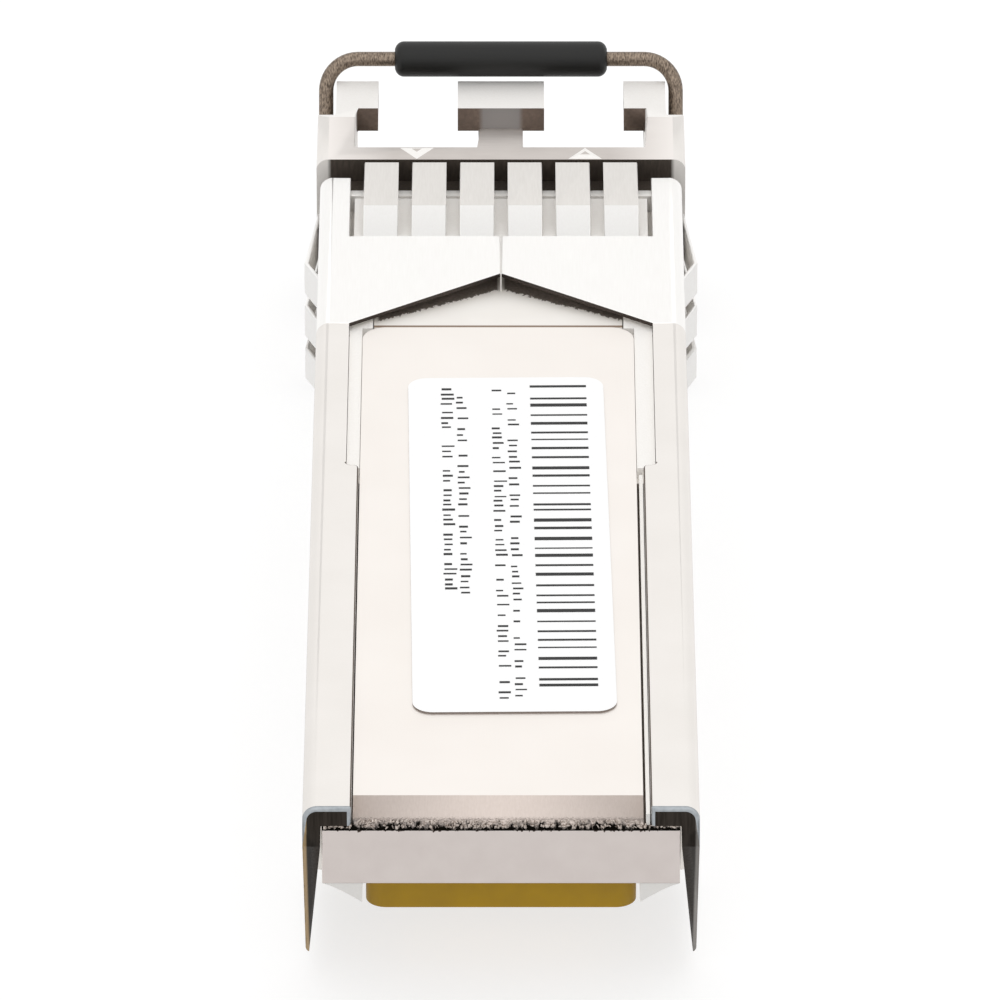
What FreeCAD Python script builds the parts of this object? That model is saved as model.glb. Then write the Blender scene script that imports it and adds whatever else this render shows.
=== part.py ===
import FreeCAD, Part
import Sketcher
import math
import os
import re

# Small pluggable optical transceiver with a bail latch, in millimetres.
# Sketches use a rear datum: X across, Y from the rear end to the nose, Z up from the housing's underside.
# Each body's placement then carries it to the part's frame: middle of the footprint, lowest point at Z = 0.

SIZES = {
    # Cast housing behind the cage stop
    "body_width": "13.4",
    "body_height": "8.5",
    "cage_depth": "47.5",
    "wall": "0.6",
    "lip_thickness": "0.7",
    "lip_width_rear": "1.65",
    "lip_width_front": "1.2",
    "lip_step": "24.3",
    "lip_step_radius": "0.2",
    "edge_radius": "0.5",
    "floor_thickness": "0.8",
    "mouth_length": "10.4",
    "skirt_drop": "0.8",
    "skirt_slope_run": "4.65",
    "skirt_tip": "0.1",
    "ledge_width": "0.9",
    "ledge_start": "12.0",
    # Nose in front of the cage stop
    "nose_length": "9.0",
    "nose_overhang": "0.15",
    "nose_rise": "0.3",
    "nose_wide_length": "4.25",
    "nose_step": "0.65",
    "nose_edge_radius": "0.45",
    "top_wall": "1.0",
    "slope_start": "3.5",
    "ear_length": "2.5",
    "ear_drop": "1.15",
    "ear_round": "0.3",
    "stem_drop": "0.85",
    # Fibre ports
    "port_width": "4.6",
    "port_pitch": "6.25",
    "port_floor_wall": "0.3",
    "port_ceiling_drop": "0.45",
    "plug_latch_gap": "3.0",
    "optic_axis_drop": "0.1",
    # Saddle that carries the optics, measured back from the cage stop
    "saddle_front": "3.95",
    "saddle_thickness": "1.9",
    "saddle_clearance": "0.05",
    "floor_step": "2.15",
    "roof_length": "2.1",
    # Cover with the label panel
    "cover_clearance": "0.05",
    "cover_thickness": "0.6",
    "panel_gap": "0.15",
    "panel_rise": "0.5",
    "panel_corner": "0.9",
    "panel_offset": "-0.1",
    "panel_lap": "0.15",
    "strip_run": "1.3",
    "strip_drop": "0.3",
    "end_wall_thickness": "1.2",
    "end_wall_height": "2.2",
    "shear_step": "0.12",
    "shear_drop": "0.13",
    "wing_drop": "0.7",
    "wing_setback": "0.4",
    "wing_width": "1.35",
    "ramp_run": "3.8",
    "ramp_inset": "0.4",
    "ramp_step": "0.1",
    "ramp_gap": "0.12",
    # Shielding collar
    "collar_reach": "12.45",
    "collar_sheet": "0.15",
    "collar_corner_gap": "0.9",
    "collar_notch_run": "3.9",
    "collar_seam": "0.06",
    "finger_root": "5.6",
    "finger_pitch": "1.77",
    "finger_slot": "0.5",
    "finger_apex": "1.4",
    "finger_rise": "0.55",
    "finger_rise_below": "0.3",
    "finger_tip_gap": "0.2",
    "finger_tip_rise": "0.28",
    "finger_tip_rise_low": "0.1",
    "tip_groove_length": "1.65",
    "tip_groove_depth": "0.6",
    # Bail
    "wire_diameter": "0.55",
    "arm_clearance": "0.125",
    "hinge_setback": "0.45",
    "hinge_height": "0.8",
    "journal_clearance": "0.065",
    "bar_lead": "0.05",
    "bar_bend": "1.2",
    "crank_offset": "0.5",
    "crank_inner": "1.2",
    "crank_outer": "2.1",
    "crank_run": "0.6",
    "crank_bend": "0.5",
    "grip_diameter": "1.34",
    "grip_length": "8.0",
    "grip_clearance": "0.02",
    "grip_chamfer": "0.2",
    "grip_lift": "0.13",
    # Latch under the nose
    "boss_drop": "0.45",
    "boss_width": "2.6",
    "boss_length": "2.6",
    "boss_land": "0.8",
    "boss_setback": "2.5",
    "bay_width": "6.3",
    "bay_height": "1.6",
    "bay_rear": "6.5",
    "bay_front": "6.1",
    "rocker_clearance": "0.15",
    "rocker_plate": "0.4",
    "rocker_lift": "0.05",
    "rocker_tail": "0.3",
    "pivot_ahead": "1.0",
    "pivot_height": "0.8",
    "pivot_diameter": "0.8",
    "pivot_clearance": "0.03",
    "pivot_grip": "1.45",
    "hub_diameter": "1.3",
    "heel_top": "0.9",
    "heel_thickness": "0.45",
    "heel_width": "3.9",
    "heel_overlap": "1.0",
    "spring_sheet": "0.12",
    "spring_width": "2.4",
    "spring_foot": "0.6",
    "spring_anchor": "1.3",
    "spring_gap": "0.02",
    # Circuit board
    "board_end": "4.0",
    "board_bottom": "2.27",
    "board_thickness": "1.0",
    "board_clearance": "0.1",
    "board_front": "14.5",
    "tongue_width": "9.25",
    "tongue_length": "6.4",
    "tongue_corner": "0.7",
    "contact_width": "0.6",
    "contact_pitch": "0.8",
    "contact_length": "3.2",
    "contact_setback": "0.4",
    "contact_foil": "0.05",
    "driver_size": "5.0",
    "driver_height": "0.9",
    "driver_behind_end": "6.5",
    "controller_size": "4.0",
    "controller_height": "0.8",
    "controller_behind_end": "13.5",
    "memory_size": "3.0",
    "memory_height": "0.7",
    "memory_behind_end": "11.0",
    "capacitor_length": "1.0",
    "capacitor_width": "0.5",
    "capacitor_pitch": "1.2",
    "capacitor_inset": "1.2",
    "capacitor_behind_end": "17.0",
    # Optical sub-assemblies
    "can_clearance": "0.25",
    "can_spacing": "0.85",
    "can_base_thickness": "0.6",
    "can_rim": "0.4",
    "can_length": "3.0",
    "barrel_clearance": "0.1",
    "barrel_length": "3.6",
    "neck_step": "0.5",
    "flange_thickness": "1.0",
    "receptacle_diameter": "2.9",
    "receptacle_length": "6.3",
    "ferrule_bore": "1.25",
    "sleeve_diameter": "1.9",
    "sleeve_clearance": "0.01",
    "sleeve_length": "6.4",
    "sleeve_recess": "0.2",
    "flex_sheet": "0.15",
    "flex_width": "3.0",
    "flex_landing": "2.6",
    "flex_bend": "0.7",
    "flex_reach": "1.2",
    "clip_bar": "0.4",
    "clip_width": "10.8",
    "clip_clearance": "0.05",
    "clip_leg_gap": "0.3",
    # Label
    "label_width": "7.0",
    "label_length": "24.3",
    "label_corner": "0.7",
    "label_foil": "0.06",
    "label_start": "6.9",
    "label_offset": "0.32",
    "label_turn": "0.75",
}

# Places worked out from the sizes
PLACES = {
    "nose_end": "cage_depth + nose_length",
    "nose_width": "body_width + 2 * nose_overhang",
    "nose_front_width": "nose_width - 2 * nose_step",
    "nose_height": "body_height + nose_rise",
    "ear_top": "nose_height - ear_drop",
    "stem_low": "ear_top - stem_drop",
    "nose_wide_end": "cage_depth + nose_wide_length",
    "ear_start": "nose_end - ear_length",
    "window_start": "cage_depth + top_wall",
    "inner_half": "body_width / 2 - wall",
    "lip_bottom": "body_height - lip_thickness",
    "lip_gap_rear": "body_width - 2 * lip_width_rear",
    "lip_gap_front": "body_width - 2 * lip_width_front",
    "skirt_slope_top": "lip_bottom - skirt_drop",
    "saddle_end": "cage_depth - saddle_front",
    "saddle_start": "saddle_end - saddle_thickness",
    "roof_start": "cage_depth - roof_length",
    "collar_start": "cage_depth - collar_reach",
    "finger_start": "cage_depth - finger_root",
    "finger_end": "cage_depth - finger_tip_gap",
    "groove_start": "cage_depth - tip_groove_length",
    "cover_top": "lip_bottom - cover_clearance",
    "cover_bottom": "cover_top - cover_thickness",
    "cover_half": "inner_half - cover_clearance",
    "cover_end": "roof_start - cover_clearance",
    "panel_top": "cover_top + panel_rise",
    "panel_width": "lip_gap_rear - 2 * panel_gap",
    "ramp_width": "panel_width - 2 * ramp_inset",
    "end_wall_bottom": "cover_top - end_wall_height",
    "wing_inner": "cover_half - wing_width",
    "panel_end": "collar_start + panel_lap",
    "hinge_y": "nose_wide_end + hinge_setback",
    "bar_y": "nose_end + bar_lead",
    "bar_z": "ear_top + grip_lift + grip_diameter / 2",
    "arm_x": "nose_front_width / 2 + arm_clearance + wire_diameter / 2",
    "hinge_bend": "arm_x - nose_front_width / 2",
    "arm_length": "sqrt((bar_y - hinge_y) ^ 2 + (bar_z - hinge_height) ^ 2)",
    "arm_angle": "atan2(bar_z - hinge_height; bar_y - hinge_y)",
    "bay_start": "cage_depth - bay_rear",
    "bay_end": "cage_depth + bay_front",
    "pivot_y": "cage_depth + pivot_ahead",
    "boss_front": "cage_depth - boss_setback",
    "boss_rear": "boss_front - boss_length",
    "rocker_rear": "boss_rear - rocker_tail",
    "rocker_top": "rocker_lift + rocker_plate",
    "heel_end": "hinge_y + heel_overlap",
    "board_top": "board_bottom + board_thickness",
    "board_half": "inner_half - board_clearance",
    "board_nose": "cage_depth - board_front",
    "port_floor": "bay_height + port_floor_wall",
    "port_ceiling": "cover_bottom - port_ceiling_drop",
    "optic_axis": "(port_floor + port_ceiling) / 2 - optic_axis_drop",
    "can_base_diameter": "min(port_pitch - can_spacing; 2 * (cover_bottom - can_clearance - optic_axis))",
    "can_diameter": "can_base_diameter - 2 * can_rim",
    "barrel_diameter": "min(port_width; 2 * (optic_axis - port_floor)) - 2 * barrel_clearance",
    "neck_diameter": "barrel_diameter - 2 * neck_step",
    "barrel_start": "saddle_start - saddle_clearance - barrel_length",
    "flange_start": "saddle_end + saddle_clearance",
    "flange_end": "flange_start + flange_thickness",
    "receptacle_end": "flange_end + receptacle_length",
    "can_start": "barrel_start - can_length",
    "can_rear": "can_start - can_base_thickness",
    "sleeve_end": "receptacle_end - sleeve_recess",
    "sleeve_start": "sleeve_end - sleeve_length",
    "frame_middle": "(bar_y + grip_diameter / 2) / 2",
}

doc = FreeCAD.newDocument("transceiver")
sheet = doc.addObject("Spreadsheet::Sheet", "sizes")
for row, (alias, text) in enumerate(SIZES.items(), start=1):
    sheet.set("A%d" % row, alias)
    sheet.set("B%d" % row, text)
    sheet.setAlias("B%d" % row, alias)
doc.recompute()

# Radius that a new sketch arc starts from, before its own dimension sets it
START_RADIUS = 0.05

# The sketcher's numbers for the origin and for the points of a line or circle
ORIGIN = -1
START_POINT, END_POINT, CENTRE_POINT = range(1, 4)

# How near two levels have to be to count as one
TOUCH = 0.001

# Pieces in each row of like ones
TOP_FINGERS = 6
SIDE_FINGERS = 3
CONTACTS = 10
CAPACITORS = 5


def formula(text):
    """Spell out the named sizes and places of a formula for the expression engine."""
    def spell(match):
        word = match.group()
        if word in PLACES:
            return "(" + formula(PLACES[word]) + ")"
        if word in SIZES:
            return "sizes." + word
        return word
    return re.sub(r"[a-z][a-z_0-9]*", spell, text)


def bind(target, path, text):
    """Tie one property of an object to a formula."""
    target.setExpression(path, formula(text))


def make_body(label, x="0", y="0", z="0", axis=None, angle="0"):
    """New body whose own origin lies at the place given in the rear datum, turned about one axis."""
    body = doc.addObject("PartDesign::Body", label)
    body.Label = label
    if axis:
        body.Placement = FreeCAD.Placement(FreeCAD.Vector(), FreeCAD.Rotation(axis, 1))
        bind(body, "Placement.Rotation.Angle", angle)
    bind(body, "Placement.Base.x", x)
    bind(body, "Placement.Base.y", "%s - frame_middle" % y)
    bind(body, "Placement.Base.z", "%s + boss_drop" % z)
    return body


def origin_item(body, role):
    """Plane or axis of a body's own origin."""
    return [item for item in body.Origin.OriginFeatures if item.Role == role][0]


def make_sketch(body, name, plane, level="0"):
    """Sketch on an origin plane, moved along X, Y or Z to the given level."""
    sketch = body.newObject("Sketcher::SketchObject", name)
    sketch.AttachmentSupport = [(origin_item(body, plane + "_Plane"), "")]
    sketch.MapMode = "FlatFace"
    bind(sketch, "AttachmentOffset.Base.z", "-(%s)" % level if plane == "XZ" else level)
    return sketch


def hold_point(sketch, geometry, end, x, y):
    """Dimension one point from the sketch origin."""
    point = sketch.getPoint(geometry, end)
    for kind, start, text in (("DistanceX", point.x, x), ("DistanceY", point.y, y)):
        index = sketch.addConstraint(Sketcher.Constraint(kind, ORIGIN, START_POINT, geometry, end, start))
        bind(sketch, "Constraints[%d]" % index, text)


def draw_lines(sketch, corners, closed):
    """Chain of straight lines with dimensioned corners; gives the number of the first line."""
    first = sketch.GeometryCount
    count = len(corners)
    spread = [2 * math.pi * index / count for index in range(count)]
    points = [FreeCAD.Vector(math.cos(turn), math.sin(turn), 0) for turn in spread]
    lines = count if closed else count - 1
    for index in range(lines):
        sketch.addGeometry(Part.LineSegment(points[index], points[(index + 1) % count]), False)
    for index in range(lines if closed else lines - 1):
        after = first + (index + 1) % count
        meeting = Sketcher.Constraint("Coincident", first + index, END_POINT, after, START_POINT)
        sketch.addConstraint(meeting)
    for index, (x, y) in enumerate(corners):
        if index < lines:
            hold_point(sketch, first + index, START_POINT, x, y)
        else:
            hold_point(sketch, first + index - 1, END_POINT, x, y)
    return first


def round_corner(sketch, line, radius):
    """Round the corner at the end of one line with a dimensioned arc."""
    doc.recompute()
    sketch.fillet(line, END_POINT, START_RADIUS, True, True)
    arcs = [number for number in range(sketch.GeometryCount)
            if sketch.Geometry[number].TypeId == "Part::GeomArcOfCircle"]
    index = sketch.addConstraint(Sketcher.Constraint("Radius", arcs[-1], START_RADIUS))
    bind(sketch, "Constraints[%d]" % index, radius)


def draw_box(sketch, x_low, x_high, y_low, y_high):
    """Rectangle between four levels; gives the number of its first line."""
    corners = [(x_low, y_low), (x_high, y_low), (x_high, y_high), (x_low, y_high)]
    return draw_lines(sketch, corners, True)


def draw_circle(sketch, x, y, radius):
    """Circle with dimensioned centre and radius."""
    shape = Part.Circle(FreeCAD.Vector(1, 1, 0), FreeCAD.Vector(0, 0, 1), 1)
    number = sketch.addGeometry(shape, False)
    hold_point(sketch, number, CENTRE_POINT, x, y)
    index = sketch.addConstraint(Sketcher.Constraint("Radius", number, 1))
    bind(sketch, "Constraints[%d]" % index, radius)


def extrude(sketch, kind, length, reverse=False, middle=False):
    """Pad or pocket of a sketch, named after it."""
    body = sketch.getParentGeoFeatureGroup()
    feature = body.newObject("PartDesign::" + kind, sketch.Name + "_" + kind.lower())
    feature.Profile = sketch
    feature.Reversed = reverse
    feature.SideType = "Symmetric" if middle else "One side"
    bind(feature, "Length", length)
    return feature


def ease_edges(base, kind, name, size, test):
    """Fillet or chamfer on the edges of a feature that pass a test."""
    doc.recompute()
    names = ["Edge%d" % number for number, edge in enumerate(base.Shape.Edges, start=1) if test(edge)]
    feature = base.getParentGeoFeatureGroup().newObject("PartDesign::" + kind, name)
    feature.Base = (base, names)
    bind(feature, "Radius" if kind == "Fillet" else "Size", size)
    return feature


def repeat(feature, axis, pitch, count):
    """Row of copies of a feature along one origin axis."""
    body = feature.getParentGeoFeatureGroup()
    row = body.newObject("PartDesign::LinearPattern", feature.Name + "_row")
    row.Originals = [feature]
    row.Direction = (origin_item(body, axis + "_Axis"), [""])
    row.Occurrences = count
    bind(row, "Length", "(%s) * %d" % (pitch, count - 1))
    body.Tip = row
    return row


def measure(text):
    """Present value of a formula of named sizes."""
    return float(sheet.evalExpression(formula(text).replace("sizes.", "")))


def first_of(count, pitch):
    """Place of the first piece of a row that lies even about the middle."""
    return "-%g * %s" % ((count - 1) / 2, pitch)


def runs_along(edge, axis):
    """True for a straight edge parallel to the axis."""
    if edge.Curve.TypeId != "Part::GeomLine":
        return False
    return abs(edge.Curve.Direction.dot(axis)) > 1 - TOUCH


ALONG_X = FreeCAD.Vector(1, 0, 0)
ALONG_Y = FreeCAD.Vector(0, 1, 0)
ALONG_Z = FreeCAD.Vector(0, 0, 1)


# Lower housing: one casting with the C-shaped body, the collar seat and the nose with two fibre ports
housing = make_body("lower_housing")

section = make_sketch(housing, "housing_section", "XZ")
draw_box(section, "-body_width / 2", "body_width / 2", "0", "body_height")
block = extrude(section, "Pad", "cage_depth", reverse=True)
ease_edges(block, "Fillet", "housing_long_edges", "edge_radius", lambda edge: runs_along(edge, ALONG_Y))

collar_seat = make_sketch(housing, "collar_seat", "XZ", "collar_start")
draw_box(collar_seat, "-body_width", "body_width", "-wall", "body_height + wall")
seat_lines = draw_box(collar_seat, "collar_sheet - body_width / 2", "body_width / 2 - collar_sheet",
                      "collar_sheet", "body_height - collar_sheet")
for line in range(4):
    round_corner(collar_seat, seat_lines + line, "edge_radius - collar_sheet")
extrude(collar_seat, "Pocket", "collar_reach")

tip_groove = make_sketch(housing, "tip_groove", "XZ", "groove_start")
draw_box(tip_groove, "-body_width", "body_width", "-wall", "body_height + wall")
draw_box(tip_groove, "tip_groove_depth - body_width / 2", "body_width / 2 - tip_groove_depth",
         "tip_groove_depth", "body_height - tip_groove_depth")
extrude(tip_groove, "Pocket", "tip_groove_length")

nose_profile = make_sketch(housing, "nose_profile", "YZ")
draw_lines(nose_profile, [("cage_depth", "0"), ("nose_end", "0"), ("nose_end", "ear_top"),
                          ("ear_start", "ear_top"), ("cage_depth + slope_start", "nose_height"),
                          ("cage_depth", "nose_height")], True)
extrude(nose_profile, "Pad", "nose_width", middle=True)

nose_sides = make_sketch(housing, "nose_sides", "XY", "nose_height")
for low, high in (("-nose_width", "-nose_front_width / 2"), ("nose_front_width / 2", "nose_width")):
    draw_box(nose_sides, low, high, "nose_wide_end", "nose_end + wall")
nose_block = extrude(nose_sides, "Pocket", "nose_height")


def nose_long_edge(edge):
    """Outer edges of the wide part of the nose that run front to back."""
    if not runs_along(edge, ALONG_Y):
        return False
    return abs(edge.CenterOfMass.x) > measure("nose_width / 2") - TOUCH


ease_edges(nose_block, "Fillet", "nose_long_edges", "nose_edge_radius", nose_long_edge)

hollow = make_sketch(housing, "hollow", "YZ")
draw_lines(hollow, [("-wall", "floor_thickness"), ("saddle_start - floor_step", "floor_thickness"),
                    ("saddle_start - floor_step", "port_floor"), ("saddle_start", "port_floor"),
                    ("saddle_start", "lip_bottom"), ("-wall", "lip_bottom")], True)
extrude(hollow, "Pocket", "2 * inner_half", middle=True)

lip_gap = make_sketch(housing, "lip_gap", "XY", "body_height")
step = draw_lines(lip_gap, [("-lip_gap_rear / 2", "-wall"), ("lip_gap_rear / 2", "-wall"),
                            ("lip_gap_rear / 2", "lip_step"), ("lip_gap_front / 2", "lip_step"),
                            ("lip_gap_front / 2", "collar_start + wall"),
                            ("-lip_gap_front / 2", "collar_start + wall"),
                            ("-lip_gap_front / 2", "lip_step"), ("-lip_gap_rear / 2", "lip_step")], True)
for line in (1, 2, 5, 6):
    round_corner(lip_gap, step + line, "lip_step_radius")
extrude(lip_gap, "Pocket", "lip_thickness")

top_opening = make_sketch(housing, "top_opening", "XY", "body_height")
draw_box(top_opening, "-inner_half", "inner_half", "collar_start", "roof_start")
extrude(top_opening, "Pocket", "body_height - port_ceiling")

mouth = make_sketch(housing, "mouth", "XY")
draw_box(mouth, "-inner_half", "inner_half", "-wall", "mouth_length")
extrude(mouth, "Pocket", "floor_thickness", reverse=True)

skirt_slope = make_sketch(housing, "skirt_slope", "YZ")
draw_lines(skirt_slope, [("0", "0"), ("skirt_slope_run", "0"), ("0", "skirt_slope_top")], True)
extrude(skirt_slope, "Pocket", "body_width", middle=True)

skirt_taper = make_sketch(housing, "skirt_taper", "XZ")
for side in ("-", ""):
    draw_lines(skirt_taper, [(side + "inner_half", "0"), (side + "(body_width / 2 - skirt_tip)", "0"),
                             (side + "inner_half", "skirt_slope_top")], True)
extrude(skirt_taper, "Pocket", "mouth_length")

ports = make_sketch(housing, "ports", "XZ", "nose_end")
windows = make_sketch(housing, "windows", "XY", "nose_height")
plug_gaps = make_sketch(housing, "plug_gaps", "XY", "nose_height")
for side in ("-", ""):
    axis_x = side + "port_pitch / 2"
    port_low = axis_x + " - port_width / 2"
    port_high = axis_x + " + port_width / 2"
    draw_box(ports, port_low, port_high, "port_floor", "port_ceiling")
    draw_box(windows, port_low, port_high, "window_start", "ear_start")
    draw_box(plug_gaps, axis_x + " - plug_latch_gap / 2", axis_x + " + plug_latch_gap / 2",
             "ear_start - wall", "nose_end + wall")
extrude(ports, "Pocket", "nose_end - saddle_end", reverse=True)
extrude(windows, "Pocket", "nose_height - port_ceiling")
extrude(plug_gaps, "Pocket", "nose_height - port_ceiling")

stem_slope = make_sketch(housing, "stem_slope", "YZ")
draw_lines(stem_slope, [("window_start", "nose_height"), ("ear_start", "stem_low"),
                        ("ear_start", "nose_height + wall"), ("window_start", "nose_height + wall")], True)
extrude(stem_slope, "Pocket", "port_pitch - port_width", middle=True)

saddle_bores = make_sketch(housing, "saddle_bores", "XZ", "saddle_start")
saddle_slots = make_sketch(housing, "saddle_slots", "XZ", "saddle_start")
for side in ("-", ""):
    axis_x = side + "port_pitch / 2"
    bore = "(neck_diameter / 2 + saddle_clearance)"
    draw_circle(saddle_bores, axis_x, "optic_axis", bore)
    draw_box(saddle_slots, axis_x + " - " + bore, axis_x + " + " + bore, "optic_axis", "port_ceiling")
extrude(saddle_bores, "Pocket", "saddle_thickness")
extrude(saddle_slots, "Pocket", "saddle_thickness")

latch_bay = make_sketch(housing, "latch_bay", "XY")
draw_box(latch_bay, "-bay_width / 2", "bay_width / 2", "bay_start", "bay_end")
extrude(latch_bay, "Pocket", "bay_height", reverse=True)

journal_bore = make_sketch(housing, "journal_bore", "YZ")
draw_circle(journal_bore, "hinge_y", "hinge_height", "wire_diameter / 2 + journal_clearance")
extrude(journal_bore, "Pocket", "nose_width", middle=True)
journal_slot = make_sketch(housing, "journal_slot", "YZ")
draw_box(journal_slot, "hinge_y - wire_diameter / 2 - journal_clearance",
         "hinge_y + wire_diameter / 2 + journal_clearance", "-wall", "hinge_height")
extrude(journal_slot, "Pocket", "nose_width", middle=True)

pivot_bore = make_sketch(housing, "pivot_bore", "YZ", "-bay_width / 2 - pivot_grip")
draw_circle(pivot_bore, "pivot_y", "pivot_height", "pivot_diameter / 2")
extrude(pivot_bore, "Pocket", "bay_width / 2 + pivot_grip + nose_width", reverse=True)

ledges = make_sketch(housing, "ledges", "XZ", "ledge_start")
for side in ("-", ""):
    draw_box(ledges, side + "(inner_half - ledge_width)", side + "(body_width / 2 - wall / 2)",
             "floor_thickness / 2", "board_bottom")
ledge_pad = extrude(ledges, "Pad", "board_nose - ledge_start", reverse=True)


def ear_front_edge(edge):
    """Top front edges of the ears, where the grip swings past."""
    on_front = abs(edge.CenterOfMass.y - measure("nose_end")) < TOUCH
    on_top = abs(edge.CenterOfMass.z - measure("ear_top")) < TOUCH
    return runs_along(edge, ALONG_X) and on_front and on_top


ease_edges(ledge_pad, "Fillet", "ear_fronts", "ear_round", ear_front_edge)


# Top cover: plate that slides under the lips, with the raised label panel, ramp and rear end wall
cover = make_body("top_cover")

plate = make_sketch(cover, "cover_plate", "XY", "cover_bottom")
draw_box(plate, "-cover_half", "cover_half", "0", "cover_end")
extrude(plate, "Pad", "cover_thickness")

panel = make_sketch(cover, "panel", "XY", "cover_top")
edge_lines = draw_box(panel, "panel_offset - panel_width / 2", "panel_offset + panel_width / 2",
                      "0", "panel_end")
for line in (1, 2):
    round_corner(panel, edge_lines + line, "panel_corner")
extrude(panel, "Pad", "panel_rise")

strip = make_sketch(cover, "rear_strip", "YZ")
draw_lines(strip, [("0", "panel_top - strip_drop"), ("strip_run", "panel_top"), ("0", "panel_top")], True)
extrude(strip, "Pocket", "body_width", middle=True)

ramp = make_sketch(cover, "ramp", "YZ", "panel_offset")
draw_lines(ramp, [("panel_end + ramp_gap", "cover_top - cover_thickness / 2"),
                  ("panel_end + ramp_run", "cover_top - cover_thickness / 2"),
                  ("panel_end + ramp_run", "cover_top"),
                  ("panel_end + ramp_gap", "panel_top - ramp_step")], True)
extrude(ramp, "Pad", "ramp_width", middle=True)

end_wall = make_sketch(cover, "end_wall", "XZ")
draw_box(end_wall, "-cover_half", "cover_half", "end_wall_bottom", "cover_top")
extrude(end_wall, "Pad", "end_wall_thickness", reverse=True)

wings = make_sketch(cover, "wings", "XZ", "wing_setback")
for side in ("-", ""):
    draw_lines(wings, [(side + "cover_half", "end_wall_bottom + wing_drop"),
                       (side + "cover_half", "end_wall_bottom"),
                       (side + "wing_inner", "end_wall_bottom - wing_drop"),
                       (side + "wing_inner", "end_wall_bottom + wing_drop")], True)
extrude(wings, "Pad", "end_wall_thickness - wing_setback", reverse=True)

shear = make_sketch(cover, "sheared_edge", "XZ")
draw_box(shear, "-body_width", "body_width", "cover_top - shear_drop", "body_height")
extrude(shear, "Pocket", "shear_step")


# Shielding collar: thin sheet wrapped round the body, with a seam on top and rows of spring fingers
collar = make_body("emi_collar")

ring = make_sketch(collar, "collar_ring", "XZ", "collar_start")
outer_lines = draw_box(ring, "-body_width / 2", "body_width / 2", "0", "body_height")
inner_lines = draw_box(ring, "collar_sheet - body_width / 2", "body_width / 2 - collar_sheet",
                       "collar_sheet", "body_height - collar_sheet")
for line in range(4):
    round_corner(ring, outer_lines + line, "edge_radius")
    round_corner(ring, inner_lines + line, "edge_radius - collar_sheet")
extrude(ring, "Pad", "collar_reach - collar_corner_gap", reverse=True)

notch = make_sketch(collar, "collar_notch", "XY", "body_height")
draw_lines(notch, [("-lip_gap_front / 2", "collar_start - wall"),
                   ("lip_gap_front / 2", "collar_start - wall"), ("lip_gap_front / 2", "collar_start"),
                   ("0", "collar_start + collar_notch_run"),
                   ("-lip_gap_front / 2", "collar_start")], True)
extrude(notch, "Pocket", "2 * collar_sheet")

seam = make_sketch(collar, "collar_seam_cut", "XY", "body_height")
draw_box(seam, "-collar_seam / 2", "collar_seam / 2", "collar_start", "finger_start + wall")
extrude(seam, "Pocket", "2 * collar_sheet")

top_half = "(%d * finger_pitch + finger_slot) / 2" % TOP_FINGERS
side_half = "(%d * finger_pitch + finger_slot) / 2" % SIDE_FINGERS
top_band = make_sketch(collar, "top_band", "XY", "body_height")
draw_box(top_band, "-" + top_half, top_half, "finger_start", "cage_depth")
extrude(top_band, "Pocket", "2 * collar_sheet")

side_band = make_sketch(collar, "side_band", "YZ")
draw_box(side_band, "finger_start", "cage_depth", "body_height / 2 - " + side_half,
         "body_height / 2 + " + side_half)
extrude(side_band, "Pocket", "2 * body_width", middle=True)

bottom_band = make_sketch(collar, "bottom_band", "XY")
draw_box(bottom_band, "-" + top_half, top_half, "finger_start", "cage_depth")
draw_box(bottom_band, "-bay_width / 2 - rocker_clearance", "bay_width / 2 + rocker_clearance",
         "bay_start", "finger_start")
extrude(bottom_band, "Pocket", "2 * collar_sheet", reverse=True)


def finger_outline(face, outward, rise, tip_rise):
    """Corners of one bent finger as seen along its row, from its root in the ring to its tip."""
    stations = (("finger_start - finger_slot", "0"), ("finger_start", "0"),
                ("finger_start + finger_apex", rise), ("finger_end", tip_rise))
    outside = [(y, "%s %s (%s)" % (face, outward, height)) for y, height in stations]
    inside = [(y, "%s %s (%s - collar_sheet)" % (face, outward, height)) for y, height in stations]
    return outside + inside[::-1]


top_finger = make_sketch(collar, "top_finger", "YZ", first_of(TOP_FINGERS, "finger_pitch"))
draw_lines(top_finger, finger_outline("body_height", "+", "finger_rise", "finger_tip_rise"), True)
top_pad = extrude(top_finger, "Pad", "finger_pitch - finger_slot", middle=True)
repeat(top_pad, "X", "finger_pitch", TOP_FINGERS)

for name, side, outward in (("left", "-", "-"), ("right", "", "+")):
    lowest = "body_height / 2 " + first_of(SIDE_FINGERS, "finger_pitch")
    side_finger = make_sketch(collar, name + "_finger", "XY", lowest)
    side_outline = finger_outline(side + "body_width / 2", outward, "finger_rise", "finger_tip_rise_low")
    draw_lines(side_finger, [(x, y) for y, x in side_outline], True)
    side_pad = extrude(side_finger, "Pad", "finger_pitch - finger_slot", middle=True)
    repeat(side_pad, "Z", "finger_pitch", SIDE_FINGERS)

for name, side in (("left", ""), ("right", "-")):
    outermost = "%s(%s)" % (side, first_of(TOP_FINGERS, "finger_pitch"))
    bottom_finger = make_sketch(collar, name + "_bottom_finger", "YZ", outermost)
    below = finger_outline("0", "-", "finger_rise_below", "finger_tip_rise_low")
    draw_lines(bottom_finger, below, True)
    extrude(bottom_finger, "Pad", "finger_pitch - finger_slot", middle=True)


# Bail: one bent wire in its own plane, hinged at its origin, with a crank at each inner end
bail = make_body("bail_wire", y="hinge_y", z="hinge_height", axis=ALONG_X, angle="arm_angle")

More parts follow.
